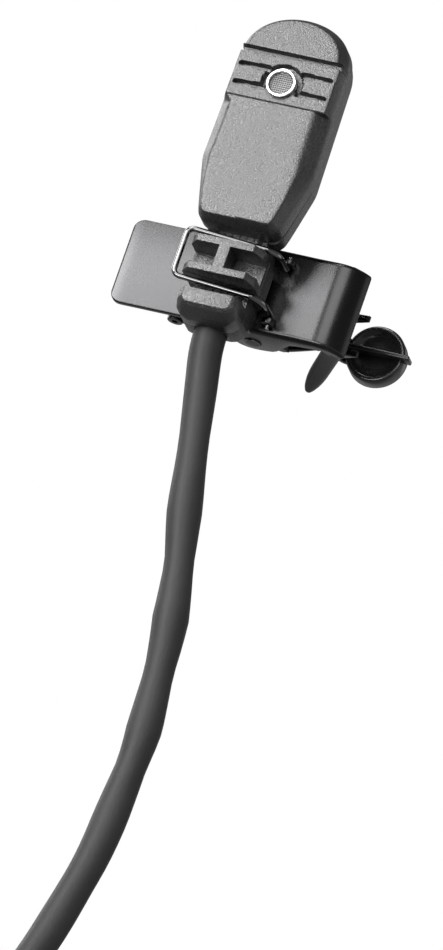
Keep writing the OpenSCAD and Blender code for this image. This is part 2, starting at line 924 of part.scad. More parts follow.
module bail_wire() {
    reach = bail_ear_in + bail_ear_t + bail_end;
    color([0.16, 0.16, 0.17]) {
        tube(bail_path, bail_r, 10, [0, 1, 1]);
        translate([bail_hinge[0], bail_hinge[1], bail_top_z - bail_r])
            cylinder(r = bail_r, h = bail_r + reach);
        translate([bail_hinge[0], bail_hinge[1], bail_low_z - reach])
            cylinder(r = bail_r, h = bail_r + reach);
    }
}

// ------------------------------------------------------------------ cord

function coil_heading(a) = [-sin(a), 0, cos(a)];
// How far the spiral has been drawn in: down and up again, layer by layer
function drawn_in(s) =
    let (l = floor(s / coil_layer_sweep), f = s - l * coil_layer_sweep)
        (l % 2 == 0 ? f : coil_layer_sweep - f) / 360 * coil_pitch;
// Each layer is climbed in the half turn round its reversal
function climbed(s) = coil_pitch * (
    [for (k = [1:coil_layers - 1])
        max(0, min(1, (s - k * coil_layer_sweep + 90) / 180))] * [for (k = [1:coil_layers - 1]) 1]
);
function coil_point(s) =
    let (a = coil_from + s, r = coil_outer_r - drawn_in(s))
        coil_at + [r * cos(a), climbed(s) - coil_pitch * (coil_layers - 1) / 2, r * sin(a)];
coil_turn_points = [for (i = [0:coil_count]) coil_point(i * coil_step)];
coil_to = coil_from + coil_extra;
coil_path = concat(
    [coil_turn_points[0] - cord_d * coil_heading(coil_from)],
    coil_turn_points,
    [coil_turn_points[coil_count] + cord_d * coil_heading(coil_to)]
);

// Least distance between points of the coil that are half a turn or more apart
half_turn = 12;
coil_least = min([
    for (i = [0:coil_count - half_turn])
        min([for (j = [i + half_turn:coil_count])
            norm(coil_turn_points[i] - coil_turn_points[j])])
]);
spring_least = min([
    for (i = [0:last(spring_path) - 5])
        min([for (j = [i + 5:last(spring_path)]) norm(spring_path[i] - spring_path[j])])
]);
echo(coil_gap_to_itself = coil_least - cord_d);
echo(spring_gap_to_itself = spring_least - spring_wire_d);

// A turn in the X-Z plane that leaves a point along a heading and bends one way
function bend_points(start, from_angle, turn, r, steps) = [
    for (i = [1:steps])
        let (a = from_angle + turn * i / steps, s = sign(turn))
            start + s * r * [sin(a) - sin(from_angle), 0, cos(from_angle) - cos(a)]
];

// The free cord bends down into the coil's first turn
lead_turn = coil_from - 90;
lead_start = coil_path[0] - cord_d / 2 * coil_heading(coil_from);
lead_points = bend_points(lead_start, lead_turn, 90 - lead_turn, lead_bend_r, 4);
run_path = concat(cord_route, reversed(lead_points), [lead_start, coil_path[0]]);

module cord_run() {
    color([0.20, 0.20, 0.21])
    tube(run_path, cord_d / 2, 8, [0, 1, 0]);
}

module cord_coil() {
    color([0.20, 0.20, 0.21])
    tube(coil_path, cord_d / 2, 6, [0, 1, 0]);
}

// The tail leaves the coil, runs clear of it and turns straight down to the plug
tail_start = coil_path[last(coil_path)];
tail_angle = coil_to + 90;
tail_clear = cover_d / 2 - cord_d / 2 + 7;
tail_knee = tail_start + tail_clear * [cos(tail_angle), 0, sin(tail_angle)];
tail_bend = bend_points(tail_knee, tail_angle, 270 - tail_angle, tail_bend_r, 4);
tail_end = tail_bend[last(tail_bend)] - [0, 0, 2 * cord_d];
tail_path = concat([tail_start, tail_knee], tail_bend, [tail_end]);

module cord_tail() {
    color([0.20, 0.20, 0.21])
    tube(tail_path, cord_d / 2, 8, [0, 1, 0]);
}

// Strap round all the turns, drawn at right angles to them
module cable_tie() {
    inner_r = coil_outer_r - coil_layer_sweep / 360 * coil_pitch - cord_d / 2 - tie_room;
    outer_r = coil_outer_r + cord_d / 2 + tie_room;
    half = (coil_layers - 1) / 2 * coil_pitch + cord_d / 2 + tie_room;
    color([0.10, 0.10, 0.10])
    translate(coil_at)
        rotate([0, -tie_angle, 0])
            difference() {
                block([inner_r - tie_t, -half - tie_t, -tie_w / 2],
                      [outer_r + tie_t, half + tie_t, tie_w / 2]);
                block([inner_r, -half, -tie_w], [outer_r, half, tie_w]);
            }
}

// ------------------------------------------------------------------ plug

plug_top = tail_end;

// A turned piece about the plug's axis, by heights below the cord's end
module turned(r0, r1, from, to) {
    translate([plug_top[0], plug_top[1], plug_top[2] - to])
        cylinder(r1 = r1, r2 = r0, h = to - from);
}
cover_from = boot_l - 3;
cover_to = cover_from + cover_l;
flange_to = cover_to + flange_l;
sleeve_to = flange_to + sleeve_l;
ring_from = sleeve_to + insulator_l;
ring_to = ring_from + ring_l;
tip_from = ring_to + insulator_l;
tip_to = flange_to + shaft_l;
core_from = boot_l + 2;

module plug_boot() {
    color([0.07, 0.07, 0.07])
    difference() {
        union() {
            turned(cord_d / 2 + 0.5, boot_neck_r, 0 - 2, cover_from);
            turned(boot_neck_r, boot_neck_r, cover_from - sliver, boot_l);
            turned(boot_flange_r, boot_flange_r, cover_from + 1 + fit, boot_l);
        }
        turned(cord_d / 2 + fit, cord_d / 2 + fit, -cut - 2, 0);
        turned(wire_bore_r, wire_bore_r, -cut, boot_l + cut);
    }
}

module plug_cover() {
    r = cover_d / 2;
    color([0.55, 0.56, 0.57])
    difference() {
        union() {
            turned(r - 0.6, r, cover_from, cover_from + 0.6);
            turned(r, r, cover_from + 0.6, cover_to);
        }
        turned(boot_neck_r + piece_gap, boot_neck_r + piece_gap, cover_from - cut, cover_from + 1);
        turned(r - cover_wall, r - cover_wall, cover_from + 1, cover_to + cut);
    }
}

module plug_sleeve() {
    color([0.80, 0.70, 0.45])
    difference() {
        union() {
            turned(sleeve_seat_r, sleeve_seat_r, cover_to - 4, cover_to + sliver);
            turned(flange_d / 2 + 0.6, flange_d / 2 + 0.6, cover_to, flange_to);
            turned(shaft_d / 2, shaft_d / 2, flange_to - sliver, sleeve_to);
        }
        turned(tube_r + fit, tube_r + fit, cover_to - 4 - cut, sleeve_to + cut);
    }
}

module plug_ring() {
    color([0.80, 0.70, 0.45])
    difference() {
        turned(shaft_d / 2, shaft_d / 2, ring_from, ring_to);
        turned(tube_r + fit, tube_r + fit, ring_from - cut, ring_to + cut);
    }
}

module plug_tip() {
    neck = 0.75;
    color([0.80, 0.70, 0.45]) {
        turned(rod_r, rod_r, core_from + 2, tip_from + sliver);
        turned(shaft_d / 2, shaft_d / 2, tip_from, tip_from + 0.5);
        turned(shaft_d / 2, shaft_d / 2 - neck, tip_from + 0.5, tip_from + 1.3);
        turned(shaft_d / 2 - neck, shaft_d / 2, tip_from + 1.3, tip_from + 2.2);
        turned(shaft_d / 2, 0.6, tip_from + 2.2, tip_to);
    }
}

module plug_insulators() {
    color([0.06, 0.06, 0.06])
    difference() {
        union() {
            turned(insulator_r, insulator_r, sleeve_to, ring_from);
            turned(insulator_r, insulator_r, ring_to, tip_from);
            turned(tube_r, tube_r, core_from + 3, tip_from);
        }
        turned(rod_r + fit, rod_r + fit, core_from, tip_to);
    }
}

module plug_terminals() {
    color([0.78, 0.78, 0.76])
    difference() {
        union() {
            turned(2, 2, core_from + 2.2, core_from + 2.6);
            translate([plug_top[0] + 1.3, plug_top[1] - 0.8, plug_top[2] - core_from - 2.6])
                cube([0.3, 1.6, 3.4]);
        }
        turned(tube_r + fit, tube_r + fit, core_from + 1, core_from + 4);
    }
}

front_shell();
rear_shell();
port_ring();
port_mesh();
port_felt();
capsule_boot();
capsule_can();
diaphragm_ring();
diaphragm();
spacer_ring();
backplate();
capsule_insulator();
contact_ring();
jfet();
capsule_board();
signal_wire();
ground_wire();
crimp_ring();
clip_plate();
pivot_pin();
jaw_lever();
thumb_pad();
torsion_spring();
bail_wire();
cord_run();
cord_coil();
cord_tail();
cable_tie();
plug_boot();
plug_cover();
plug_sleeve();
plug_ring();
plug_tip();
plug_insulators();
plug_terminals();
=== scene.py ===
"""Clip-on lavalier microphone: moulded head, sprung clip, wire bail, cord and plug.

Lengths here are millimetres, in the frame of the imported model, and a mesh is scaled to
metres as it is made.
"""

from __future__ import annotations

import logging
import math
from dataclasses import dataclass, field
from enum import Enum
from typing import Callable, Sequence

import bmesh
import bpy
import numpy as np
from mathutils import Matrix, Vector


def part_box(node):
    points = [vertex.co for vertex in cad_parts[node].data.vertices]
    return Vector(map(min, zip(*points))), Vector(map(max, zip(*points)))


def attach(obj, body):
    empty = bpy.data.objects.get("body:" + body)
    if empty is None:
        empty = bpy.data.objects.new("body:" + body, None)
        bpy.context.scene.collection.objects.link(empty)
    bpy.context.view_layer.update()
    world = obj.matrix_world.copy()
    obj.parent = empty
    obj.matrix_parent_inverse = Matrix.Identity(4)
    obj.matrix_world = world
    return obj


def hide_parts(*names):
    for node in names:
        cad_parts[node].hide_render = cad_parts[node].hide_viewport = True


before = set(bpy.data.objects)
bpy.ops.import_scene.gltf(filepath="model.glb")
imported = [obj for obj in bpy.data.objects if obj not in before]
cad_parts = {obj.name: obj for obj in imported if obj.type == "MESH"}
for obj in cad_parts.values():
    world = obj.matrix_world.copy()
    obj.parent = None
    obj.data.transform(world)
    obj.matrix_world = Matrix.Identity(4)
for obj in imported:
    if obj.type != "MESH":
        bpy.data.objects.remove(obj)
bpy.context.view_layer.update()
MM = 0.001
LOG = logging.getLogger("microphone")

Thing = bpy.types.Object
Point = Sequence[float]
Pair = tuple[float, float]
Triple = tuple[float, float, float]
Table = tuple[Pair, ...]
Profile = Sequence[Pair]
Loop = list[Vector]
Inputs = dict[str | int, object]

# Edges that turn more than this stay sharp
SHARP_DEG = 32.0
UP, DOWN, INWARD = (0, 0, 1), (0, 0, -1), (0, 1, 0)
# X and Y of the jaw's pin and of the bail's hinge
PIVOT = (2.2, 2.2)
HINGE = (4.2, -1.2)


class Body(str, Enum):
    """The rigid bodies that pieces ride on."""

    CLIP = "clip_body"
    JAW = "jaw"
    BAIL = "bail"


# ------------------------------------------------------------------ mesh making


def node_box(node: str) -> tuple[Vector, Vector]:
    """Lowest and highest corner of a CAD node in millimetres."""
    low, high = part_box(node)
    return low / MM, high / MM


def new_object(name: str, data: bpy.types.ID) -> Thing:
    """Links new data into the scene as an object at the origin."""
    thing = bpy.data.objects.new(name, data)
    bpy.context.scene.collection.objects.link(thing)
    return thing


def shade(target: Thing, sharp_deg: float = SHARP_DEG) -> Thing:
    """Shades a mesh smooth between its real edges.

    Args:
        target: The object.
        sharp_deg: Edges that turn more than this stay sharp.

    Returns:
        The same object.
    """
    mesh = target.data
    mesh.polygons.foreach_set("use_smooth", [True] * len(mesh.polygons))
    mesh.set_sharp_from_angle(angle=math.radians(sharp_deg))
    return target


def solid(name: str, bm: bmesh.types.BMesh, sharp_deg: float = SHARP_DEG) -> Thing:
    """Turns a bmesh in millimetres into a smooth-shaded object in metres.

    Args:
        name: The object's name.
        bm: The mesh, which is freed.
        sharp_deg: Edges that turn more than this stay sharp.

    Returns:
        The new object.
    """
    bmesh.ops.recalc_face_normals(bm, faces=bm.faces)
    bmesh.ops.scale(bm, vec=(MM, MM, MM), verts=bm.verts)
    mesh = bpy.data.meshes.new(name)
    bm.to_mesh(mesh)
    bm.free()
    return shade(new_object(name, mesh), sharp_deg)


def add_loops(bm: bmesh.types.BMesh, loops: Sequence[Loop], closed: bool = False) -> None:
    """Skins a row of loops that have the same number of points.

    Args:
        bm: The mesh that takes the skin.
        loops: Rings of points, in order.
        closed: True joins the last ring to the first instead of capping both.
    """
    rings = [[bm.verts.new(p) for p in loop] for loop in loops]
    pairs = list(zip(rings, rings[1:]))
    if closed:
        pairs.append((rings[-1], rings[0]))
    for one, two in pairs:
        for i in range(len(one)):
            k = (i + 1) % len(one)
            bm.faces.new((one[i], one[k], two[k], two[i]))
    if not closed:
        bm.faces.new(list(reversed(rings[0])))
        bm.faces.new(rings[-1])


def lofted(
    name: str, loops: Sequence[Loop], sharp_deg: float = SHARP_DEG, closed: bool = False
) -> Thing:
    """Makes one solid from a row of loops.

    Args:
        name: The object's name.
        loops: Rings of points, in order.
        sharp_deg: Edges that turn more than this stay sharp.
        closed: True joins the last ring to the first instead of capping both.

    Returns:
        The new object.
    """
    bm = bmesh.new()
    add_loops(bm, loops, closed)
    return solid(name, bm, sharp_deg)


def fillet(path: Sequence[Point], radius: float, steps: int = 5) -> Loop:
    """Rounds the corners of an open path.

    Args:
        path: The path's corners.
        radius: How far from each corner its round starts, at the most.
        steps: Points in each round.

    Returns:
        The path with its corners rounded.
    """
    points = [Vector(p) for p in path]
    out = [points[0]]
    for before, corner, after in zip(points, points[1:], points[2:]):
        reach = min(radius, (before - corner).length / 2, (after - corner).length / 2)
        start = corner + (before - corner).normalized() * reach
        end = corner + (after - corner).normalized() * reach
        for i in range(steps + 1):
            t = i / steps
            out.append(start.lerp(corner, t).lerp(corner.lerp(end, t), t))
    out.append(points[-1])
    return out


def smooth_path(path: Sequence[Point], steps: int = 4) -> Loop:
    """A rounder path through the same points.

    Args:
        path: Points to pass through.
        steps: Points on each stretch.

    Returns:
        The finer path.
    """
    points = [Vector(p) for p in path]
    out: Loop = []
    for i in range(len(points) - 1):
        a, b = points[max(i - 1, 0)], points[i]
        c, d = points[i + 1], points[min(i + 2, len(points) - 1)]
        for k in range(steps):
            t = k / steps
            out.append(
                0.5 * (2 * b + (c - a) * t + (2 * a - 5 * b + 4 * c - d) * t**2
                       + (3 * b - a - 3 * c + d) * t**3)
            )
    out.append(points[-1])
    return out


def headings(path: Sequence[Vector], closed: bool = False) -> Loop:
    """Which way a path runs at each of its points.

    Args:
        path: The path.
        closed: True if its last point leads to the first.

    Returns:
        A unit vector for each point.
    """
    last = len(path) - 1
    ends = [((i + 1) % len(path), i - 1) if closed else (min(i + 1, last), max(i - 1, 0))
            for i in range(len(path))]
    return [(path[after] - path[before]).normalized() for after, before in ends]


def tube_loops(
    path: Sequence[Vector], radius: float | Callable[[int], float], sides: int
) -> list[Loop]:
    """Rings of a round tube that doesn't twist.

    Args:
        path: The tube's centre line.
        radius: Its radius, or a function of the point's index.
        sides: Points in a ring.

    Returns:
        One ring at each point of the path.
    """
    loops: list[Loop] = []
    normal = None
    for i, (centre, heading) in enumerate(zip(path, headings(path))):
        guess = normal if normal is not None else heading.orthogonal()
        normal = (guess - heading * guess.dot(heading)).normalized()
        across = heading.cross(normal)
        r = radius(i) if callable(radius) else radius
        loops.append([
            centre + r * (math.cos(a) * normal + math.sin(a) * across)
            for a in (2 * math.pi * k / sides for k in range(sides))
        ])
    return loops


def turned_loops(profile: Profile, centre: Point, axis: Point, sides: int) -> list[Loop]:
    """Rings of a turned piece.

    Args:
        profile: Radius and distance along the axis, in order.
        centre: Where distance is 0.
        axis: Which way distance grows.
        sides: Points in a ring.

    Returns:
        One ring for each point of the profile.
    """
    along = Vector(axis).normalized()
    u = along.orthogonal().normalized()
    v = along.cross(u)
    origin = Vector(centre)
    return [
        [
            origin + along * h + max(r, 1e-4) * (math.cos(a) * u + math.sin(a) * v)
            for a in (2 * math.pi * k / sides for k in range(sides))
        ]
        for r, h in profile
    ]


def turned(
    name: str, profile: Profile, centre: Point, axis: Point, sides: int,
    sharp_deg: float = SHARP_DEG, round_by: float = 0.0, hollow: bool = False,
) -> Thing:
    """Makes one turned solid.

    Args:
        name: The object's name.
        profile: Radius and distance along the axis; a closed run if hollow.
        centre: Where distance is 0.
        axis: Which way distance grows.
        sides: Points in a ring.
        sharp_deg: Edges that turn more than this stay sharp.
        round_by: Rounding of the profile's corners.
        hollow: True for a ring or tube.

    Returns:
        The new object.
    """
    line = [*profile, profile[0]] if hollow else list(profile)
    if round_by > 0:
        line = [(p[0], p[1]) for p in fillet([(r, h, 0) for r, h in line], round_by, 3)]
    if hollow:
        line = line[:-1]
    return lofted(name, turned_loops(line, centre, axis, sides), sharp_deg, hollow)


def strip_ring(half_u: float, half_v: float, soft: float, steps: int) -> list[Pair]:
    """Outline of a flat strip with rounded edges.

    Args:
        half_u: Half its width.
        half_v: Half its thickness.
        soft: Radius of its edges.
        steps: Stretches in each round.

    Returns:
        Places across and through the strip.
    """
    ring = []
    for u, v in ((1, 1), (-1, 1), (-1, -1), (1, -1)):
        for k in range(steps + 1):
            a = math.radians(90 / steps * (k if u * v > 0 else steps - k))
            ring.append((u * (half_u - soft + soft * math.cos(a)),
                         v * (half_v - soft + soft * math.sin(a))))
    return ring


def bevel(bm: bmesh.types.BMesh, width: float, segments: int) -> None:
    """Rounds every edge of a mesh, unless the width is 0."""
    if width > 0:
        bmesh.ops.bevel(bm, geom=bm.edges[:], offset=width, segments=segments, profile=0.5,
                        affect="EDGES", clamp_overlap=True)


def hulled(
    name: str, points: Sequence[Point], round_by: float = 0.0, segments: int = 3
) -> Thing:
    """Makes the convex solid round some points, with rounded edges.

    Args:
        name: The object's name.
        points: The solid's corners.
        round_by: Width of the rounding on its edges.
        segments: Steps in the rounding.

    Returns:
        The new object.
    """
    bm = bmesh.new()
    for p in points:
        bm.verts.new(p)
    made = bmesh.ops.convex_hull(bm, input=bm.verts)
    loose = [e for e in made["geom_interior"] + made["geom_unused"]
             if isinstance(e, bmesh.types.BMVert)]
    bmesh.ops.delete(bm, geom=loose, context="VERTS")
    bmesh.ops.dissolve_limit(bm, angle_limit=math.radians(2), verts=bm.verts, edges=bm.edges)
    bevel(bm, round_by, segments)
    return solid(name, bm)


def both_sides(points: Sequence[Point]) -> list[Point]:
    """Points mirrored to the other side of X 0, and the points themselves."""
    return [(s * x, y, z) for s in (-1, 1) for x, y, z in points]


def box_points(low: Point, high: Point) -> list[Point]:
    """The eight corners of a box."""
    return [(x, y, z) for x in (low[0], high[0]) for y in (low[1], high[1])
            for z in (low[2], high[2])]


def prism(name: str, outline: Profile, low: float, high: float, round_by: float
          ) -> Thing:
    """Makes a solid from an outline in X and Y, thickened along Z, with rounded edges.

    Args:
        name: The object's name.
        outline: Corners in X and Y.
        low: Lower face.
        high: Upper face.
        round_by: Width of the rounding.

    Returns:
        The new object.
    """
    bm = bmesh.new()
    add_loops(bm, [[Vector((x, y, z)) for x, y in outline] for z in (low, high)])
    bmesh.ops.recalc_face_normals(bm, faces=bm.faces)
    bevel(bm, round_by, 2)
    return solid(name, bm)


def drill(name: str, centre: Point, axis: Point, radius: float, length: float
          ) -> Thing:
    """A cylinder to cut with, from the centre of one end along its axis."""
    return turned(name, [(radius, 0), (radius, length)], centre, axis, 40)


def built_up(
    name: str, base: Thing, joined: Sequence[Thing],
    cut: Sequence[Thing] = (), sharp_deg: float = SHARP_DEG,
) -> Thing:
    """Joins solids to a base, cuts others out of it, and shades the result.

    Args:
        name: The result's name.
        base: The solid that grows.
        joined: Solids to join to it, which are removed.
        cut: Solids to cut out of it afterwards, which are removed.
        sharp_deg: Edges that turn more than this stay sharp.

    Returns:
        The base with its new mesh.
    """
    for tools, operation in ((joined, "UNION"), (cut, "DIFFERENCE")):
        for tool in tools:
            step = base.modifiers.new("carve", "BOOLEAN")
            step.operation, step.solver, step.object = operation, "MANIFOLD", tool
        if tools:
            keep_result(base)
        for tool in tools:
            bpy.data.objects.remove(tool)
    base.name = name
    return shade(base, sharp_deg)


def keep_result(thing: Thing) -> None:
    """Makes what an object's modifiers give its own mesh, and removes them."""
    mesh = bpy.data.meshes.new_from_object(
        thing.evaluated_get(bpy.context.evaluated_depsgraph_get()))
    thing.modifiers.clear()
    thing.data = mesh


# ----------------------------------------------------------------- node graphs


def feed(tree: bpy.types.NodeTree, node: bpy.types.Node, inputs: Inputs) -> bpy.types.Node:
    """Gives a node's inputs their values and links.

    Args:
        tree: The tree that holds the node.
        node: The node.
        inputs: For each input a value, a socket, or a node whose first output is meant.

    Returns:
        The node.
    """
    for key, value in inputs.items():
        if isinstance(value, bpy.types.Node):
            value = value.outputs[0]
        if isinstance(value, bpy.types.NodeSocket):
            tree.links.new(value, node.inputs[key])
        else:
            node.inputs[key].default_value = value
    return node


def put(
    tree: bpy.types.NodeTree, kind: str, inputs: Inputs | None = None, **settings: object
) -> bpy.types.Node:
    """Adds a node to a tree.

    Args:
        tree: The tree.
        kind: The node's type.
        inputs: What its inputs are given, as feed takes it.
        **settings: The node's own settings.

    Returns:
        The node.
    """
    node = tree.nodes.new(kind)
    for name, value in settings.items():
        setattr(node, name, value)
    return feed(tree, node, inputs or {})


def new_group(
    name: str, kind: str, inputs: dict[str, str], outputs: dict[str, str]
) -> tuple[bpy.types.NodeTree, bpy.types.bpy_prop_collection, bpy.types.Node]:
    """Starts a node group with named sockets.

    Args:
        name: The group's name.
        kind: The type of its tree.
        inputs: Its inputs and their types.
        outputs: Its outputs and their types.

    Returns:
        The tree, the sockets that carry its inputs, and the node that takes its outputs.
    """
    tree = bpy.data.node_groups.new(name, kind)
    for way, sockets in (("INPUT", inputs), ("OUTPUT", outputs)):
        for label, socket in sockets.items():
            tree.interface.new_socket(label, in_out=way, socket_type="NodeSocket" + socket)
    return tree, put(tree, "NodeGroupInput").outputs, put(tree, "NodeGroupOutput")


@dataclass
class Grower:
    """A Geometry Nodes tree that ends in real geometry with a material.

    Args:
        name: The tree's name.
        sizes: Its named inputs and their types, besides Material.
    """

    name: str
    sizes: dict[str, str]

    def __post_init__(self) -> None:
        """Starts the tree."""
        self.tree, self.given, self.end = new_group(
            self.name, "GeometryNodeTree", {**self.sizes, "Material": "Material"},
            {"Geometry": "Geometry"})

    def put(self, kind: str, inputs: Inputs | None = None, **settings: object) -> bpy.types.Node:
        """Adds a node, as the function of the same name does."""
        return put(self.tree, kind, inputs, **settings)

    def calc(self, operation: str, *values: object) -> bpy.types.Node:
        """Adds a Math node with its values or sockets in order."""
        return self.put("ShaderNodeMath", dict(enumerate(values)), operation=operation)

    def grow(
        self, name: str, shape: bpy.types.Node, finish: Finish, centre: Point, **values: object
    ) -> Thing:
        """Ends the tree, runs it once and keeps its result as a plain mesh.

        Args:
            name: The object's name.
            shape: The node that gives the tree's geometry.
            finish: Its finish.
            centre: Where the result's origin goes, in millimetres.
            **values: A value for each named input.

        Returns:
            The object at the origin, without a modifier.
        """
        real = self.put("GeometryNodeRealizeInstances", {0: shape})
        dressed = self.put("GeometryNodeSetMaterial",
                           {"Geometry": real, "Material": self.given["Material"]})
        feed(self.tree, self.end, {0: dressed})
        values["Material"] = finish.material()
        made = new_object(name, bpy.data.meshes.new(name))
        step = made.modifiers.new("grow", "NODES")
        step.node_group = self.tree
        for item in self.tree.interface.items_tree:
            if item.item_type == "SOCKET" and item.in_out == "INPUT":
                step[item.identifier] = values[item.name]
        keep_result(made)
        made.data.transform(Matrix.Translation(Vector(centre) * MM))
        return shade(made, 50)


# -------------------------------------------------------------------- finishes


def fine_grain_group() -> bpy.types.ShaderNodeTree:
    """Builds the grain that all the finishes share.

    Returns:
        A node group with Cell and Coarse sizes in metres, a Height and a broad Mask.
    """
    tree, given, end = new_group(
        "FineGrain", "ShaderNodeTree", {"Cell": "Float", "Coarse": "Float"},
        {"Height": "Float", "Mask": "Float"})
    place = put(tree, "ShaderNodeTexCoord")
    for size, out, detail in (("Cell", "Height", 2.0), ("Coarse", "Mask", 3.0)):
        scale = put(tree, "ShaderNodeMath", {0: 1.0, 1: given[size]}, operation="DIVIDE")
        noise = put(tree, "ShaderNodeTexNoise", {
            "Vector": place.outputs["Object"], "Scale": scale, "Detail": detail,
            "Roughness": 0.6})
        feed(tree, end, {out: noise.outputs["Fac"]})
    return tree


GRAIN = fine_grain_group()


@dataclass(frozen=True)
class Finish:
    """A surface finish with a fine grain and slow changes of gloss and tone.

    Args:
        name: The material's name.
        colour: Linear colour.
        roughness: Mean roughness.
        roughness_play: How far the roughness wanders either way.
        metallic: 1 for bare or plated metal.
        tone_play: How far the colour wanders either way, as a share.
        cell: Size of the grain in metres.
        coarse: Size of the slow changes in metres.
        relief: Height of the grain in metres.
        coat: Weight of a clear gloss coat.
        sheen: Weight of a cloth sheen.
        specular: Specular level.
        speck: How far the grain changes the roughness.
    """

    name: str
    colour: Triple
    roughness: float = 0.5
    roughness_play: float = 0.06
    metallic: float = 0.0
    tone_play: float = 0.12
    cell: float = 0.0002
    coarse: float = 0.004
    relief: float = 0.0
    coat: float = 0.0
    sheen: float = 0.0
    specular: float = 0.5
    speck: float = 0.0

    def material(self) -> bpy.types.Material:
        """Builds the finish once and hands it out again later.

        Returns:
            The material.
        """
        name = f"{self.name}_finish"
        known = bpy.data.materials.get(name)
        if known is not None:
            return known
        made = bpy.data.materials.new(name)
        made.use_nodes = True
        made.diffuse_color = (*self.colour, 1.0)
        tree = made.node_tree
        grain = put(tree, "ShaderNodeGroup", {"Cell": self.cell, "Coarse": self.coarse},
                    node_tree=GRAIN)
        mask, height = grain.outputs["Mask"], grain.outputs["Height"]
        tone = self.spread(tree, mask, 1.0, self.tone_play)
        colour = put(tree, "ShaderNodeVectorMath", {0: self.colour, "Scale": tone},
                     operation="SCALE")
        gloss = self.spread(tree, mask, self.roughness, self.roughness_play)
        fine = self.spread(tree, height, 0.0, self.speck)
        shader = feed(tree, tree.nodes["Principled BSDF"], {
            "Metallic": self.metallic, "Specular IOR Level": self.specular,
            "Coat Weight": self.coat, "Coat Roughness": 0.05, "Sheen Weight": self.sheen,
            "Base Color": colour,
            "Roughness": put(tree, "ShaderNodeMath", {0: gloss, 1: fine}, operation="ADD"),
        })
        if self.relief > 0:
            bump = put(tree, "ShaderNodeBump",
                       {"Strength": 1.0, "Distance": self.relief, "Height": height})
            feed(tree, shader, {"Normal": bump})
        return made

    @staticmethod
    def spread(
        tree: bpy.types.NodeTree, noise: bpy.types.NodeSocket, middle: float, play: float
    ) -> bpy.types.Node:
        """Spreads the middle of a noise, 0.3 to 0.7, over a span of values.

        Args:
            tree: The material's tree.
            noise: The noise.
            middle: Middle of the span.
            play: Half its width.

        Returns:
            The Map Range node.
        """
        return put(tree, "ShaderNodeMapRange", {
            "Value": noise, "From Min": 0.3, "From Max": 0.7, "To Min": middle - play,
            "To Max": middle + play})


MOULDED = Finish(
    "moulded_black", (0.012, 0.012, 0.0125), 0.31, 0.01, cell=0.00016, relief=0.00006,
    tone_play=0.1, speck=0.06, specular=0.9,
)
PLATED = Finish(
    "plated_black", (0.045, 0.045, 0.046), 0.25, 0.02, 1.0, 0.06, 0.00010, relief=0.000003,
    speck=0.04,
)
JAW_PLATED = Finish(
    "jaw_plated_black", (0.042, 0.042, 0.044), 0.28, 0.04, 1.0, cell=0.00012,
    relief=0.000004, speck=0.05,
)
BAIL_PLATED = Finish(
    "bail_plated_black", (0.14, 0.14, 0.14), 0.1, 0.02, 1.0, cell=0.0004, relief=0.000001,
    coat=1.0,
)
PAD_GLOSS = Finish(
    "pad_gloss_black", (0.010, 0.010, 0.011), 0.22, 0.05, cell=0.0005, relief=0.000003
)
BRIGHT = Finish(
    "bright_turned", (0.78, 0.78, 0.78), 0.2, 0.06, 1.0, cell=0.00015, relief=0.000001
)
GAUZE_STEEL = Finish("gauze_steel", (0.25, 0.25, 0.25), 0.35, 0.05, 1.0)
SPRING_STEEL = Finish("spring_steel", (0.45, 0.45, 0.46), 0.25, 0.06, 1.0)
DARK_STEEL = Finish("dark_steel", (0.18, 0.18, 0.185), 0.3, 0.06, 1.0)
JACKET = Finish(
    "cord_jacket", (0.026, 0.026, 0.027), 0.55, 0.05, cell=0.0004, relief=0.00002,
    coarse=0.009, tone_play=0.2, specular=0.25,
)
STRAP = Finish("strap_nylon", (0.02, 0.02, 0.02), 0.42, 0.05, cell=0.0006, relief=0.00001)
BOOT = Finish("boot_rubber", (0.02, 0.02, 0.021), 0.6, 0.05, cell=0.0003, relief=0.00002)
COVER = Finish("cover_nickel", (0.55, 0.54, 0.52), 0.28, 0.05, 1.0, relief=0.000001)
GOLD = Finish("contact_gold", (0.80, 0.60, 0.27), 0.18, 0.05, 1.0)
PLUG_PLASTIC = Finish("plug_plastic", (0.015, 0.015, 0.015), 0.4, 0.05)

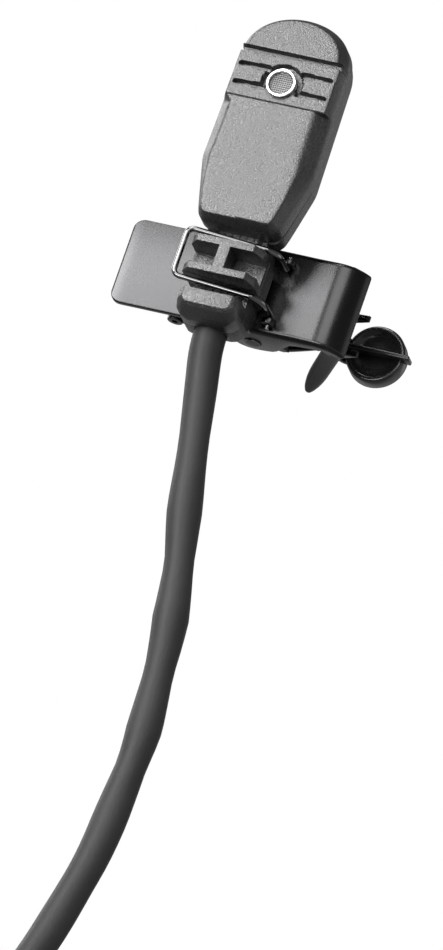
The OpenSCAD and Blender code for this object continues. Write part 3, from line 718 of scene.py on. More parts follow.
# CAD nodes that keep their own shape
INNER_FINISHES: dict[str, Finish] = {
    "port_felt": Finish("port_felt", (0.02, 0.02, 0.021), 0.95, 0.03, cell=0.00008,
                        relief=0.00004, sheen=0.4),
    "capsule_boot": Finish("seal_rubber", (0.02, 0.02, 0.02), 0.7, 0.05, cell=0.0003,
                           relief=0.00001),
    "capsule_can": Finish("drawn_aluminium", (0.62, 0.62, 0.63), 0.3, 0.06, 1.0),
    "diaphragm_ring": Finish("stack_brass", (0.62, 0.46, 0.18), 0.28, 0.06, 1.0),
    "diaphragm": Finish("gold_film", (0.80, 0.60, 0.27), 0.12, 0.03, 1.0),
    "spacer_ring": Finish("spacer_plastic", (0.70, 0.70, 0.66), 0.5, 0.04),
    "backplate": Finish("coated_backplate", (0.55, 0.50, 0.34), 0.32, 0.05, 1.0),
    "capsule_insulator": Finish("sleeve_plastic", (0.75, 0.75, 0.71), 0.45, 0.04),
    "contact_ring": Finish("contact_brass", (0.66, 0.48, 0.20), 0.25, 0.06, 1.0),
    "jfet": Finish("transistor_epoxy", (0.02, 0.02, 0.02), 0.5, 0.05, relief=0.000004),
    "capsule_board": Finish("solder_resist", (0.02, 0.10, 0.035), 0.3, 0.05, coat=0.3),
    "signal_wire": Finish("red_insulation", (0.45, 0.02, 0.015), 0.35, 0.04),
    "ground_wire": Finish("lapped_copper", (0.60, 0.30, 0.16), 0.35, 0.08, 1.0,
                          cell=0.00015, relief=0.00001),
    "crimp_ring": Finish("pressed_aluminium", (0.60, 0.60, 0.59), 0.35, 0.06, 1.0),
    "plug_terminals": Finish("tinned_tag", (0.62, 0.62, 0.60), 0.32, 0.06, 1.0),
}


def settle(
    piece: Thing, body: Body, slot: str, finish: Finish, *nodes: str
) -> Thing:
    """Dresses a piece and says what it rides on and stands for.

    Args:
        piece: The finished piece.
        body: The body that it moves with.
        slot: A material slot's name; not used.
        finish: Its finish.
        *nodes: The CAD nodes that it stands for.

    Returns:
        The same piece.
    """
    piece.data.materials.clear()
    piece.data.materials.append(finish.material())
    piece.data.polygons.foreach_set("material_index", [0] * len(piece.data.polygons))
    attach(piece, body.value)
    if nodes:
        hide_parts(*nodes)
    LOG.info("%s rides on %s, stands for %s", piece.name, body.value, ", ".join(nodes) or "itself")
    return piece


def dress_inner_nodes() -> None:
    """Gives every CAD node that keeps its own shape its finish."""
    for node, finish in INNER_FINISHES.items():
        thing = bpy.data.objects[node]
        material = finish.material()
        if thing.material_slots:
            for slot in thing.material_slots:
                slot.material = material
        else:
            thing.data.materials.append(material)
        LOG.info("%s keeps its shape and takes %s", node, material.name)


# ---------------------------------------------------------------------- studio


@dataclass(frozen=True)
class Lamp:
    """A rectangular soft box that faces the microphone.

    Args:
        name: The lamp's name.
        toward: Direction from the microphone to the lamp.
        size: Width and height.
        watts: Its power.
        away: Its distance.
        aim_z: Height of the point that it faces.
    """

    name: str
    toward: Triple
    size: Pair
    watts: float
    away: float = 620.0
    aim_z: float = 5.0

    def build(self) -> None:
        """Adds the lamp."""
        data = bpy.data.lights.new(self.name, "AREA")
        data.shape, data.energy = "RECTANGLE", self.watts
        data.size, data.size_y = self.size[0] * MM, self.size[1] * MM
        lamp = new_object(self.name, data)
        direction = Vector(self.toward).normalized()
        lamp.location = (direction * self.away + Vector((0, 0, self.aim_z))) * MM
        lamp.rotation_mode = "QUATERNION"
        lamp.rotation_quaternion = direction.to_track_quat("Z", "Y")


@dataclass
class Studio:
    """Camera, lamps, world and floor."""

    facing: Triple = (0.306, -0.889, -0.342)
    image_right: Triple = (0.9295, 0.2011, 0.3091)
    image_down: Triple = (0.2059, 0.4125, -0.8875)
    px_per_mm: float = 11.0
    image_px: tuple[int, int] = (443, 950)
    port_px: Pair = (280.1, 80.0)
    lens: float = 700.0
    sensor: float = 36.0
    floor_z: float = -1300.0
    floor_half: float = 2200.0
    # Brightness of what metal mirrors along the horizon and overhead, and the heights
    # between which the one goes over into the other
    horizon: float = 0.6
    overhead: float = 0.2
    fade_z: Pair = (-0.08, 0.24)
    ambient: float = 0.3
    lamps: tuple[Lamp, ...] = (
        Lamp("key_box", (-0.52, -0.82, 0.23), (300.0, 310.0), 4.6),
        Lamp("front_box", (0.19, -0.92, 0.35), (330.0, 300.0), 1.4),
        Lamp("top_box", (-0.31, -0.45, 0.84), (260.0, 300.0), 2.4),
        Lamp("low_box", (-0.12, -0.93, -0.35), (340.0, 200.0), 1.8),
        Lamp("left_box", (-0.80, 0.36, 0.46), (300.0, 360.0), 1.5),
        Lamp("side_box", (0.95, 0.25, 0.20), (260.0, 420.0), 0.3, 700.0),
        Lamp("back_box", (0.36, 0.87, 0.34), (260.0, 300.0), 0.14),
    )

    def build(self) -> None:
        """Makes everything that isn't part of the object."""
        self.camera()
        for lamp in self.lamps:
            lamp.build()
        self.world()
        self.floor()
        bpy.context.scene.view_settings.view_transform = "Standard"

    def camera(self) -> None:
        """Puts a long lens where the front of the port ring lands on its own pixel."""
        back, right, down = (Vector(v) for v in (self.facing, self.image_right, self.image_down))
        low, high = node_box("port_ring")
        port = Vector(((low.x + high.x) / 2, low.y, (low.z + high.z) / 2))
        middle = Vector(self.image_px) / 2 - Vector(self.port_px)
        aim = port + right * (middle.x / self.px_per_mm) + down * (middle.y / self.px_per_mm)
        tall = self.image_px[1] / self.px_per_mm
        away = tall / self.sensor * self.lens
        data = bpy.data.cameras.new("camera")
        data.lens, data.sensor_width, data.sensor_fit = self.lens, self.sensor, "AUTO"
        data.clip_start, data.clip_end = 0.01, 20.0
        camera = new_object("camera", data)
        axes = Matrix((right, -down, back)).transposed().to_4x4()
        camera.matrix_world = Matrix.Translation((aim + back * away) * MM) @ axes
        bpy.context.scene.camera = camera

    def world(self) -> None:
        """A white surround to look at, a studio to reflect, and a dimmer light."""
        world = bpy.data.worlds.new("surround")
        bpy.context.scene.world = world
        world.use_nodes = True
        tree = world.node_tree
        tree.nodes.clear()
        seen = put(tree, "ShaderNodeBackground", {"Color": (1, 1, 1, 1)})
        lit = put(tree, "ShaderNodeBackground",
                  {"Color": (0.97, 0.98, 1, 1), "Strength": self.ambient})
        place = put(tree, "ShaderNodeTexCoord")
        axes = put(tree, "ShaderNodeSeparateXYZ", {0: place.outputs["Generated"]})
        fade = put(tree, "ShaderNodeMapRange", {
            "Value": axes.outputs["Z"], "From Min": self.fade_z[0], "From Max": self.fade_z[1],
            "To Min": self.horizon, "To Max": self.overhead}, interpolation_type="SMOOTHSTEP")
        mirrored = put(tree, "ShaderNodeBackground", {"Strength": fade})
        path = put(tree, "ShaderNodeLightPath")
        either = put(tree, "ShaderNodeMath", {
            0: path.outputs["Is Glossy Ray"], 1: path.outputs["Is Transmission Ray"]},
            operation="MAXIMUM")
        bounce = put(tree, "ShaderNodeMixShader", {0: either, 1: lit, 2: mirrored})
        mix = put(tree, "ShaderNodeMixShader",
                  {0: path.outputs["Is Camera Ray"], 1: bounce, 2: seen})
        put(tree, "ShaderNodeOutputWorld", {"Surface": mix})

    def floor(self) -> None:
        """A pale floor far below, since the microphone is worn and hangs."""
        bm = bmesh.new()
        bm.faces.new([bm.verts.new((x * self.floor_half, y * self.floor_half, self.floor_z))
                      for x, y in ((-1, -1), (1, -1), (1, 1), (-1, 1))])
        floor = solid("floor", bm)
        material = bpy.data.materials.new("floor_pale")
        material.use_nodes = True
        tree = material.node_tree
        shader = feed(tree, tree.nodes["Principled BSDF"],
                      {"Base Color": (0.5, 0.5, 0.5, 1), "Roughness": 0.8})
        glow = put(tree, "ShaderNodeEmission", {"Strength": 1.02})
        path = put(tree, "ShaderNodeLightPath")
        # The camera sees mostly glow, and a mirror very little of it
        share = put(tree, "ShaderNodeMath", {0: path.outputs["Is Camera Ray"], 1: 0.96},
                    operation="MULTIPLY")
        both = put(tree, "ShaderNodeMath",
                   {0: path.outputs["Is Glossy Ray"], 1: 0.04, 2: share},
                   operation="MULTIPLY_ADD")
        mix = put(tree, "ShaderNodeMixShader", {0: both, 1: shader, 2: glow})
        # Clear from below, so that it hides nothing there
        side, clear = put(tree, "ShaderNodeNewGeometry"), put(tree, "ShaderNodeBsdfTransparent")
        under = put(tree, "ShaderNodeMixShader",
                    {0: side.outputs["Backfacing"], 1: mix, 2: clear})
        feed(tree, tree.nodes["Material Output"], {"Surface": under})
        floor.data.materials.append(material)


# ------------------------------------------------------------------------ cord


@dataclass
class Cord:
    """The cord from the collar to the plug, with its coil."""

    thick: float = 3.1
    exit_z: float = -4.5
    low_z: float = -6.45
    depth_y: float = -3.3
    coil_at: Triple = (-1.1, -0.6, -108.5)
    coil_gap: float = 0.55
    outer_r: float = 22.4
    turns: int = 12
    layers: int = 4
    from_deg: float = 105.0
    extra_deg: float = 45.0
    step_deg: float = 7.5
    climb_deg: float = 180.0
    lead_r: float = 9.0
    tail_r: float = 8.0
    cover_d: float = 8.0
    cover_room: float = 7.0
    sides: int = 14
    # Relative thickness down the stretch in view, by height
    swell: Table = (
        (-140.0, 1.0), (-70.0, 1.0), (-65.0, 1.03), (-60.5, 0.98), (-54.1, 1.04),
        (-51.5, 0.98), (-48.8, 0.9), (-45.0, 1.06), (-42.0, 0.96), (-39.5, 0.87),
        (-36.8, 0.98), (-34.2, 1.08), (-31.5, 0.97), (-28.9, 0.86), (-26.0, 0.98),
        (-23.6, 1.06), (-19.4, 0.93), (-17.1, 0.89), (-12.4, 0.97), (-9.0, 1.0), (-6.0, 1.0),
    )

    @property
    def pitch(self) -> float:
        """Distance between neighbouring turns and layers."""
        return self.thick + self.coil_gap

    @property
    def sweep(self) -> float:
        """How far the coil winds, in degrees."""
        return 360.0 * self.turns + self.extra_deg

    def run(self) -> list[Point]:
        """The free cord's chosen points, from the collar down to the coil."""
        y = self.depth_y
        return [
            (0, y, self.exit_z), (0, y, self.low_z), (0.2, y, -8.6), (0.9, y, -12),
            (2.1, y, -18), (3.3, y, -24), (4.6, y, -29.8), (5.6, y, -35.7),
            (6.2, y, -41.7), (6.5, y, -46.5), (6.3, y, -52), (5.9, y, -57.5),
            (5.1, y, -62), (4.1, -3.5, -66.8), (3.3, -4.2, -70.6), (2.8, -5.2, -74.2),
        ]

    def heading(self, deg: float) -> Vector:
        """Which way the coil runs at an angle."""
        return Vector((-math.sin(math.radians(deg)), 0, math.cos(math.radians(deg))))

    def bend(self, start: Vector, deg: float, turn: float, r: float, steps: int) -> Loop:
        """A bend in the plane of the coil.

        Args:
            start: Where it starts.
            deg: The heading there.
            turn: How far it turns.
            r: Its radius.
            steps: How many points.

        Returns:
            The bend's points after the start.
        """
        side = math.copysign(1.0, turn)
        out = []
        for i in range(1, steps + 1):
            a, b = math.radians(deg + turn * i / steps), math.radians(deg)
            out.append(start + side * r * Vector(
                (math.sin(a) - math.sin(b), 0, math.cos(b) - math.cos(a))))
        return out

    def coil(self) -> Loop:
        """The coil's points, wound in and out layer by layer."""
        layer = self.sweep / self.layers
        out = []
        for i in range(int(round(self.sweep / self.step_deg)) + 1):
            s = i * self.step_deg
            k = min(int(s // layer), self.layers - 1)
            f = s - k * layer
            drawn = (f if k % 2 == 0 else layer - f) / 360.0 * self.pitch
            climb = sum(
                min(max((s - j * layer + self.climb_deg / 2) / self.climb_deg, 0.0), 1.0)
                for j in range(1, self.layers)
            )
            a, r = math.radians(self.from_deg + s), self.outer_r - drawn
            up = self.pitch * (climb - (self.layers - 1) / 2)
            out.append(Vector(self.coil_at) + Vector((r * math.cos(a), up, r * math.sin(a))))
        return out

    def path(self) -> Loop:
        """The whole centre line."""
        coil = self.coil()
        lead_deg = self.from_deg - 90.0
        coil_start = coil[0] - self.thick * self.heading(self.from_deg)
        lead_start = coil_start - self.thick / 2 * self.heading(self.from_deg)
        lead = self.bend(lead_start, lead_deg, 90.0 - lead_deg, self.lead_r, 4)
        run = smooth_path([*self.run(), *reversed(lead), lead_start, coil_start, coil[0]], 4)
        end_deg = self.from_deg + self.extra_deg
        tail_start = coil[-1] + self.thick * self.heading(end_deg)
        clear = self.cover_d / 2 - self.thick / 2 + self.cover_room
        knee = tail_start + clear * self.heading(end_deg)
        bend = self.bend(knee, end_deg + 90.0, 180.0 - end_deg, self.tail_r, 8)
        end = Vector((bend[-1].x, bend[-1].y, node_box("cord_tail")[0].z))
        return [*run, *coil[1:], tail_start, knee, *bend, end]

    def radius(self, point: Vector) -> float:
        """The cord's radius at a point, a little uneven where it has been handled."""
        heights, shares = zip(*self.swell)
        return self.thick / 2 * float(np.interp(point.z, heights, shares))

    def build(self) -> Thing:
        """Makes the cord's jacket.

        Returns:
            The cord.
        """
        path = self.path()
        free = len(path) - len(self.coil())
        rings = tube_loops(
            path, lambda i: self.radius(path[i]) if i < free else self.thick / 2, self.sides)
        return settle(lofted("cord", rings, 60), Body.CLIP, "cord_jacket", JACKET,
                      "cord_run", "cord_coil", "cord_tail")

    def declare(self, held: Sequence[Thing]) -> None:
        """Args:
            held: What is on it; not used.
        """
        path = self.path()
        length = sum((b - a).length for a, b in zip(path, path[1:]))
        LOG.info("the cord is %.0f mm long", length)


@dataclass
class CordStrap:
    """The releasable strap that holds the coil, with its head and teeth.

    Args:
        cord: The cord that it holds.
    """

    cord: Cord
    angle_deg: float = 128.0
    slack: float = 0.35
    wide: float = 6.0
    thick: float = 1.0
    edge_r: float = 0.2
    bend_r: float = 2.6
    head_half: float = 3.2
    tooth_step: float = 1.1
    tooth: Triple = (0.5, 0.3, 4.4)
    teeth_from: float = 3.0
    teeth_count: int = 7
    inner: float = field(init=False)
    outer: float = field(init=False)
    half_y: float = field(init=False)

    def __post_init__(self) -> None:
        """Fits the strap round the coil."""
        coil, room = self.cord, self.cord.thick / 2 + self.slack
        self.inner = coil.outer_r - coil.sweep / coil.layers / 360 * coil.pitch - room
        self.outer = coil.outer_r + room
        self.half_y = (coil.layers - 1) / 2 * coil.pitch + room

    def axes(self) -> tuple[Vector, Vector]:
        """Radial and turning directions of the coil where the strap sits."""
        a = math.radians(self.angle_deg)
        return Vector((math.cos(a), 0, math.sin(a))), Vector((-math.sin(a), 0, math.cos(a)))

    def at(self, r: float, y: float, side: float = 0.0) -> Vector:
        """A point by its distance out, its depth and its place across the strap."""
        out, turn = self.axes()
        return Vector(self.cord.coil_at) + out * r + Vector((0, y, 0)) + turn * side

    def build(self) -> Thing:
        """Makes the strap.

        Returns:
            Its piece.
        """
        turn = self.axes()[1]
        t, w, half = self.thick, self.wide / 2, self.half_y + self.thick / 2
        near, far = self.inner - t / 2, self.outer + t / 2
        middle = self.at((self.inner + self.outer) / 2, -half)
        path = fillet([middle, self.at(far, -half), self.at(far, half), self.at(near, half),
                       self.at(near, -half), middle], self.bend_r, 7)[:-1]
        ring = strip_ring(w, t / 2, self.edge_r, 2)
        loops = []
        for p, ahead in zip(path, headings(path, closed=True)):
            n = ahead.cross(turn).normalized()
            loops.append([p + turn * u + n * v for u, v in ring])
        strap = lofted("cord_strap", loops, 40, closed=True)
        head = hulled("strap_head", [
            self.at(r, y, s) for r in (self.outer + 0.1, self.outer + t - 0.02)
            for y in (-self.head_half, self.head_half)
            for s in (-w + 0.02, w - 0.02)], 0.3)
        strap = built_up("cord_strap", strap, [head, self.teeth()], sharp_deg=40)
        return settle(strap, Body.CLIP, "tie", STRAP, "cable_tie")

    def teeth(self) -> Thing:
        """The row of teeth on the strap's near face, as one mesh."""
        out, depth = self.axes()[0], Vector(INWARD)
        tree = Grower("StrapTeeth", {
            "Count": "Int", "Step": "Vector", "Tooth": "Vector", "Turn": "Rotation"})
        given = tree.given
        line = tree.put("GeometryNodeMeshLine",
                        {"Count": given["Count"], "Offset": given["Step"]})
        block = tree.put("GeometryNodeMeshCube", {"Size": given["Tooth"]})
        row = tree.put("GeometryNodeInstanceOnPoints", {
            "Points": line, "Instance": block, "Rotation": given["Turn"]})
        turn = Matrix((out, depth, out.cross(depth))).transposed().to_euler()
        return tree.grow(
            "strap_teeth", row, STRAP,
            self.at(self.inner + self.teeth_from, -self.half_y - self.thick + 0.02),
            Count=self.teeth_count, Step=tuple(out * self.tooth_step * MM),
            Tooth=tuple(size * MM for size in self.tooth), Turn=tuple(turn))


@dataclass
class Plug:
    """The three-contact plug on the cord's end, below its moulded boot."""

    at: Triple = (-27.846, 4.875, -118.369)
    shaft_r: float = 1.75
    cover_r: float = 4.0
    boot_l: float = 11.0
    cover_from: float = 8.0
    cover_to: float = 23.0
    flange_to: float = 24.0
    sleeve_to: float = 29.4
    ring: Pair = (30.1, 32.7)
    tip: Pair = (33.4, 38.0)
    ribs: int = 7
    rib_from: float = -1.4
    rib_step: float = 1.3
    rib_h: float = 0.28
    knurls: int = 72
    grip: float = 0.12

    def piece(
        self, name: str, profile: Profile, slot: str, finish: Finish, node: str,
        round_by: float = 0.06, hollow: bool = True,
    ) -> Thing:
        """Turns one piece about the plug's axis.

        Args:
            name: The piece's name.
            profile: Radius and distance below the cord's end; a closed run if hollow.
            slot: Name of its material slot.
            finish: Its finish.
            node: The CAD node that it stands for.
            round_by: Rounding of its corners.
            hollow: True for a ring or tube.

        Returns:
            The piece.
        """
        made = turned(name, profile, self.at, DOWN, 64, 40, round_by, hollow)
        return settle(made, Body.CLIP, slot, finish, node)

    def boot(self) -> Thing:
        """The ribbed rubber boot."""
        outer = [(1.95, -2.0)]
        for k in range(self.ribs):
            z = self.rib_from + k * self.rib_step
            r = 2.02 + 0.6 * (z + 2) / 10
            low = r - self.rib_h
            outer += [(r, z), (r, z + 0.75), (low, z + 0.9), (low, z + 1.15)]
        outer += [(2.65, 7.8), (2.65, 9.1), (2.9, 9.12), (2.9, self.boot_l)]
        inner = [(0.9, self.boot_l), (0.9, 0.0), (1.6, 0.0), (1.6, -2.0)]
        return self.piece("plug_grommet", [*outer, *inner], "boot_rubber", BOOT, "plug_boot", 0.1)

    def cover(self) -> Thing:
        """The knurled cover, with its grip grown round it and joined in."""
        r, a, b = self.cover_r, self.cover_from, self.cover_to
        wall, low = 0.9, r - self.grip
        line = [
            (2.75, a), (r - 0.6, a), (r, a + 0.6), (r, a + 2.2), (low, a + 2.3),
            (low, b - 2.4), (r, b - 2.3), (r, b - 0.4), (r - 0.25, b), (r - wall, b),
            (r - wall, a + 1), (2.75, a + 1),
        ]
        barrel = turned("plug_barrel", line, self.at, DOWN, 96, 40, 0.08, hollow=True)
        knurl = self.knurl(low, a + 2.45, b - 2.55)
        return settle(built_up("plug_barrel", barrel, [knurl], sharp_deg=40), Body.CLIP,
                      "cover_metal", COVER, "plug_cover")

    def knurl(self, r: float, low: float, high: float) -> Thing:
        """Straight knurling round the cover.

        Args:
            r: Radius that it stands on.
            low: Where it starts below the cord's end.
            high: Where it ends.

        Returns:
            The ribs as one mesh.
        """
        tree = Grower("StraightKnurl", {
            "Count": "Int", "Radius": "Float", "Rib": "Float", "Length": "Float"})
        given, (x, y, z) = tree.given, self.at
        circle = tree.put("GeometryNodeMeshCircle",
                          {"Vertices": given["Count"], "Radius": given["Radius"]})
        rib = tree.put("GeometryNodeMeshCylinder",
                       {"Vertices": 6, "Radius": given["Rib"], "Depth": given["Length"]})
        round_it = tree.put("GeometryNodeInstanceOnPoints", {"Points": circle, "Instance": rib})
        return tree.grow(
            "knurl", round_it, COVER, (x, y, z - (low + high) / 2), Count=self.knurls,
            Radius=(r - 0.02) * MM, Rib=0.13 * MM, Length=(high - low) * MM)

    def build(self) -> list[Thing]:
        """Makes the plug.

        Returns:
            Its pieces, with the CAD tags on its back.
        """
        r, tube, rod = self.shaft_r, 1.15, 0.45
        bore, seat, waist = tube + 0.05, self.cover_r - 0.95, r - 0.3
        back = self.cover_to - 4
        sleeve = [
            (seat, back), (seat, self.cover_to), (3.4, self.cover_to), (3.4, self.flange_to),
            (r, self.flange_to), (r, self.sleeve_to), (bore, self.sleeve_to), (bore, back),
        ]
        (low, high), (a, b) = self.ring, self.tip
        ring = [(r, low), (r, high), (bore, high), (bore, low)]
        tip = [
            (0.02, 15.0), (rod, 15.0), (rod, a), (r, a), (r, a + 0.5), (r - 0.75, a + 1.3),
            (r, a + 2.2), (1.15, a + 3.6), (0.6, b), (0.02, b),
        ]
        core = [
            (tube, 16.0), (tube, self.sleeve_to), (waist, self.sleeve_to), (waist, low),
            (tube, low), (tube, high), (waist, high), (waist, a), (rod + 0.05, a),
            (rod + 0.05, 16.0),
        ]
        return [
            self.boot(), self.cover(),
            self.piece("plug_shank", sleeve, "contact_gold", GOLD, "plug_sleeve"),
            self.piece("plug_band", ring, "contact_gold", GOLD, "plug_ring"),
            self.piece("plug_point", tip, "contact_gold", GOLD, "plug_tip", 0.12, False),
            self.piece("plug_core", core, "plug_plastic", PLUG_PLASTIC, "plug_insulators", 0.02),
            bpy.data.objects["plug_terminals"],
        ]


# ------------------------------------------------------------------ microphone


@dataclass
class Moulding:
    """The two halves of the moulded body, remodelled with soft edges."""

    arch_h: float = 4.1
    arch_inset: float = 0.25
    arch_power: float = 2.05
    foot_z: float = 3.05
    foot_round: float = 0.8
    # Narrowing of each side by height above the foot
    insets: Table = ((0.0, 1.65), (1.3, 1.2), (2.5, 0.9), (6.2, 0.0))
    corner_soft: float = 0.45
    columns: int = 91
    # Width of the lower face's bevel by height above the foot
    lower_bevel: Table = (
        (0.0, 0.5), (1.4, 0.6), (3.4, 0.7), (7.2, 1.33))
    left_share: float = 0.8
    band_bevel: float = 0.5
    least_bevel: float = 0.28
    cap_bevel: float = 0.7
    bevel: float = 1.15
    bevel_soft: float = 0.16
    lean: float = 0.03
    edge_drop: float = 0.16
    edge_w: float = 0.2
    # The step below the port and the band's upper end, from the port's middle
    step_down: float = 2.0
    step_drop: float = 0.12
    step_line: float = 0.1
    band_up: float = 3.25
    # Grooves: height above the port's middle, half width and depth of each kind
    groove: Triple = (2.9, 0.32, 0.6)
    short_ups: Pair = (1.27, -0.62)
    short_from: float = 1.7
    short_half: float = 0.3
    short_deep: float = 0.55
    moat_r: float = 1.6
    moat_half: float = 0.4
    groove_wall: float = 0.13
    block_top: float = 1.35
    block_foot: float = -2.3
    block_side: float = 3.5
    block_face: float = 2.75
    flange: float = 0.85
    web: float = 0.575
    recess: float = 2.85
    collar_top: float = -4.05
    collar_side: float = 3.0
    collar_round: float = 1.2
    neck_side: float = 2.7
    neck_bevel: float = 0.8
    neck_slope: float = 0.45
    neck_depth: float = 2.95
    rib_r: float = 0.14
    rib_gap: float = 0.72
    overlap: float = 0.5
    line_gap: float = 0.22
    side_step: float = 0.3
    shoulder_depth: float = 3.9
    cord_y: float = -3.3
    cord_bore: float = 1.6
    wire_bore: float = 0.9
    chamber_r: float = 3.65
    back_wall: float = 1.1
    duct_half: float = 1.5
    # Radius and length of the seats of the port ring, its bore and the crimp ring
    ring_seat: Pair = (1.62, 0.8)
    port_bore: Pair = (1.4, 2.5)
    crimp_seat: Pair = (2.0, 1.1)
    crimp_z: float = -5.85
    front: float = field(init=False)
    parting: float = field(init=False)
    back: float = field(init=False)
    top: float = field(init=False)
    side: float = field(init=False)
    port_z: float = field(init=False)
    collar_foot: float = field(init=False)

    def __post_init__(self) -> None:
        """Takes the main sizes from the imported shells."""
        low, high = node_box("front_shell")
        self.front, self.parting = low.y, high.y
        self.side, self.top, self.collar_foot = high.x, high.z, low.z
        self.back = node_box("rear_shell")[1].y
        ring_low, ring_high = node_box("port_ring")
        self.port_z = (ring_low.z + ring_high.z) / 2

    def depth(self, d: float) -> float:
        """Y at a depth behind the front face."""
        return self.front + d

    # ------------------------------------------------------------ the outline

    def half_width(self, z: np.ndarray) -> np.ndarray:
        """Half width of the head at some heights.

        Args:
            z: The heights.

        Returns:
            The half widths, in the shape of z.
        """
        base = self.top - self.arch_h
        heights = [*(self.foot_z + up for up, _ in self.insets), base]
        widths = [*(self.side - inset for _, inset in self.insets), self.side - self.arch_inset]
        spread = np.linspace(-self.corner_soft, self.corner_soft, 9)
        low = np.mean([np.interp(z + s, heights, widths) for s in spread], axis=0)
        rise = np.clip((z - base) / self.arch_h, 0, 1)
        arch = (self.side - self.arch_inset) * (1 - rise**self.arch_power) ** (
            1 / self.arch_power)
        whole = np.where(z > base, np.minimum(arch, low), low)
        short = np.clip(self.foot_round - (z - self.foot_z), 0, self.foot_round)
        return whole - (self.foot_round - np.sqrt(self.foot_round**2 - short**2))

    def heights(self) -> np.ndarray:
        """Heights of the rows across the face: close at the grooves and in the arch."""
        base, margin = self.top - self.arch_h, 0.3
        step, band = self.port_z - (self.step_down + margin), self.port_z + self.band_up + margin
        plain = np.concatenate([np.arange(self.foot_z, self.foot_z + 1, 0.06),
                                np.arange(self.foot_z + 1.02, step, 0.16)])
        start = max(base, band)
        turn = np.linspace(math.asin((start - base) / self.arch_h), math.pi / 2, 42)
        arch = base + self.arch_h * np.sin(turn)
        return np.concatenate([plain, np.arange(step, band, 0.07), np.arange(band, start, 0.16),
                               arch])

    def outline(self, rows: np.ndarray) -> np.ndarray:
        """The outline as a closed line of X and Z, anticlockwise from the foot's left.

        Args:
            rows: Heights of its points.

        Returns:
            The line's points.
        """
        w = self.half_width(rows)
        foot = np.linspace(-w[0], w[0], 24)
        right = np.stack([w, rows], 1)
        left = right[::-1] * (-1, 1)
        bottom = np.stack([foot, np.full_like(foot, self.foot_z)], 1)
        return np.concatenate([bottom[:-1], right[:-1], left[:-1]])

    # --------------------------------------------------------------- the face

    def face_depth(self, x: np.ndarray, z: np.ndarray, rim: np.ndarray) -> np.ndarray:
        """How deep the moulded face lies at each point of the head.

        Args:
            x: Places across.
            z: Heights.
            rim: Distance of each point to the head's outline.

        Returns:
            Depths behind the front face.
        """
        step_z, band_top = self.port_z - self.step_down, self.port_z + self.band_up
        ups, widths = zip(*self.lower_bevel)
        lower = np.interp(z, [self.foot_z + up for up in ups], widths)
        lower = lower * np.where(x > 0, 1.0, self.left_share)
        band = np.maximum(self.half_width(z) - (self.side - self.band_bevel), self.least_bevel)
        # The bevel changes width at once on the right, and gradually on the left
        rise = np.clip((z - step_z) / np.where(x > 0, 0.04, 0.6) + 1, 0, 1)
        width = np.where(z < band_top, lower + (band - lower) * rise, self.cap_bevel)
        slope = self.bevel * (1 - rim / width)
        ramp = 0.5 * (slope + np.sqrt(slope**2 + self.bevel_soft**2)) - 0.02
        ramp = np.minimum(ramp, self.bevel)
        ramp = ramp + self.edge_drop * np.clip(1 - rim / self.edge_w, 0, 1) ** 2
        lowered = self.step_drop / (1 + np.exp((z - step_z + 0.05) / 0.025))
        line = self.step_line * np.exp(-(((z - step_z) / 0.06) ** 2))
        lean = self.lean * np.clip(z - step_z, 0, None)
        return ramp + lowered + line + lean + self.grooves(x, z)

    def trough(self, off: np.ndarray, half: np.ndarray | float, deep: float) -> np.ndarray:
        """Depth of a groove at distances from its middle line."""
        return deep * np.clip((half - np.abs(off)) / self.groove_wall, 0, 1) ** 0.8

    def grooves(self, x: np.ndarray, z: np.ndarray) -> np.ndarray:
        """Depth of the moulded grooves: one right across, four stopping at the port.

        Args:
            x: Places across.
            z: Heights.

        Returns:
            The depths.
        """
        port, along = self.port_z, np.abs(x)
        up, half, full = self.groove
        deep = self.trough(z - (port + up), half, full)
        moat = np.sqrt(x**2 + (z - port) ** 2) - self.moat_r
        upper = np.clip((z - port + 0.7) / 0.5, 0, 1)
        deep = np.maximum(deep, self.trough(moat, self.moat_half, self.short_deep) * upper)
        reach = self.side - 2 * self.band_bevel
        past = np.maximum(np.maximum(self.short_from - along, along - reach), 0)
        slim = self.short_half - 0.08 * np.clip((along - 2.4) / 2, 0, 1)
        for up in self.short_ups:
            off = np.sqrt(past**2 + (z - (port + up)) ** 2)
            deep = np.maximum(deep, self.trough(off, slim, self.short_deep))
        return deep

    @staticmethod
    def rim_distance(x: np.ndarray, z: np.ndarray, line: np.ndarray) -> np.ndarray:
        """Distance of points to a closed line.

        Args:
            x: Places across.
            z: Heights.
            line: The closed line.

        Returns:
            The distances, in the shape of x.
        """
        points = np.stack([x.ravel(), z.ravel()], 1)
        ab = np.roll(line, -1, axis=0) - line
        span = np.maximum((ab**2).sum(1), 1e-12)
        best = np.full(len(points), 1e9)
        for start, run, size in zip(line, ab, span):
            t = np.clip(((points - start) @ run) / size, 0, 1)
            off = points - start - t[:, None] * run
            best = np.minimum(best, (off**2).sum(1))
        return np.sqrt(best).reshape(x.shape)

    def head_front(self) -> Thing:
        """The front half of the head as a closed solid.

        Returns:
            The solid.
        """
        rows = self.heights()
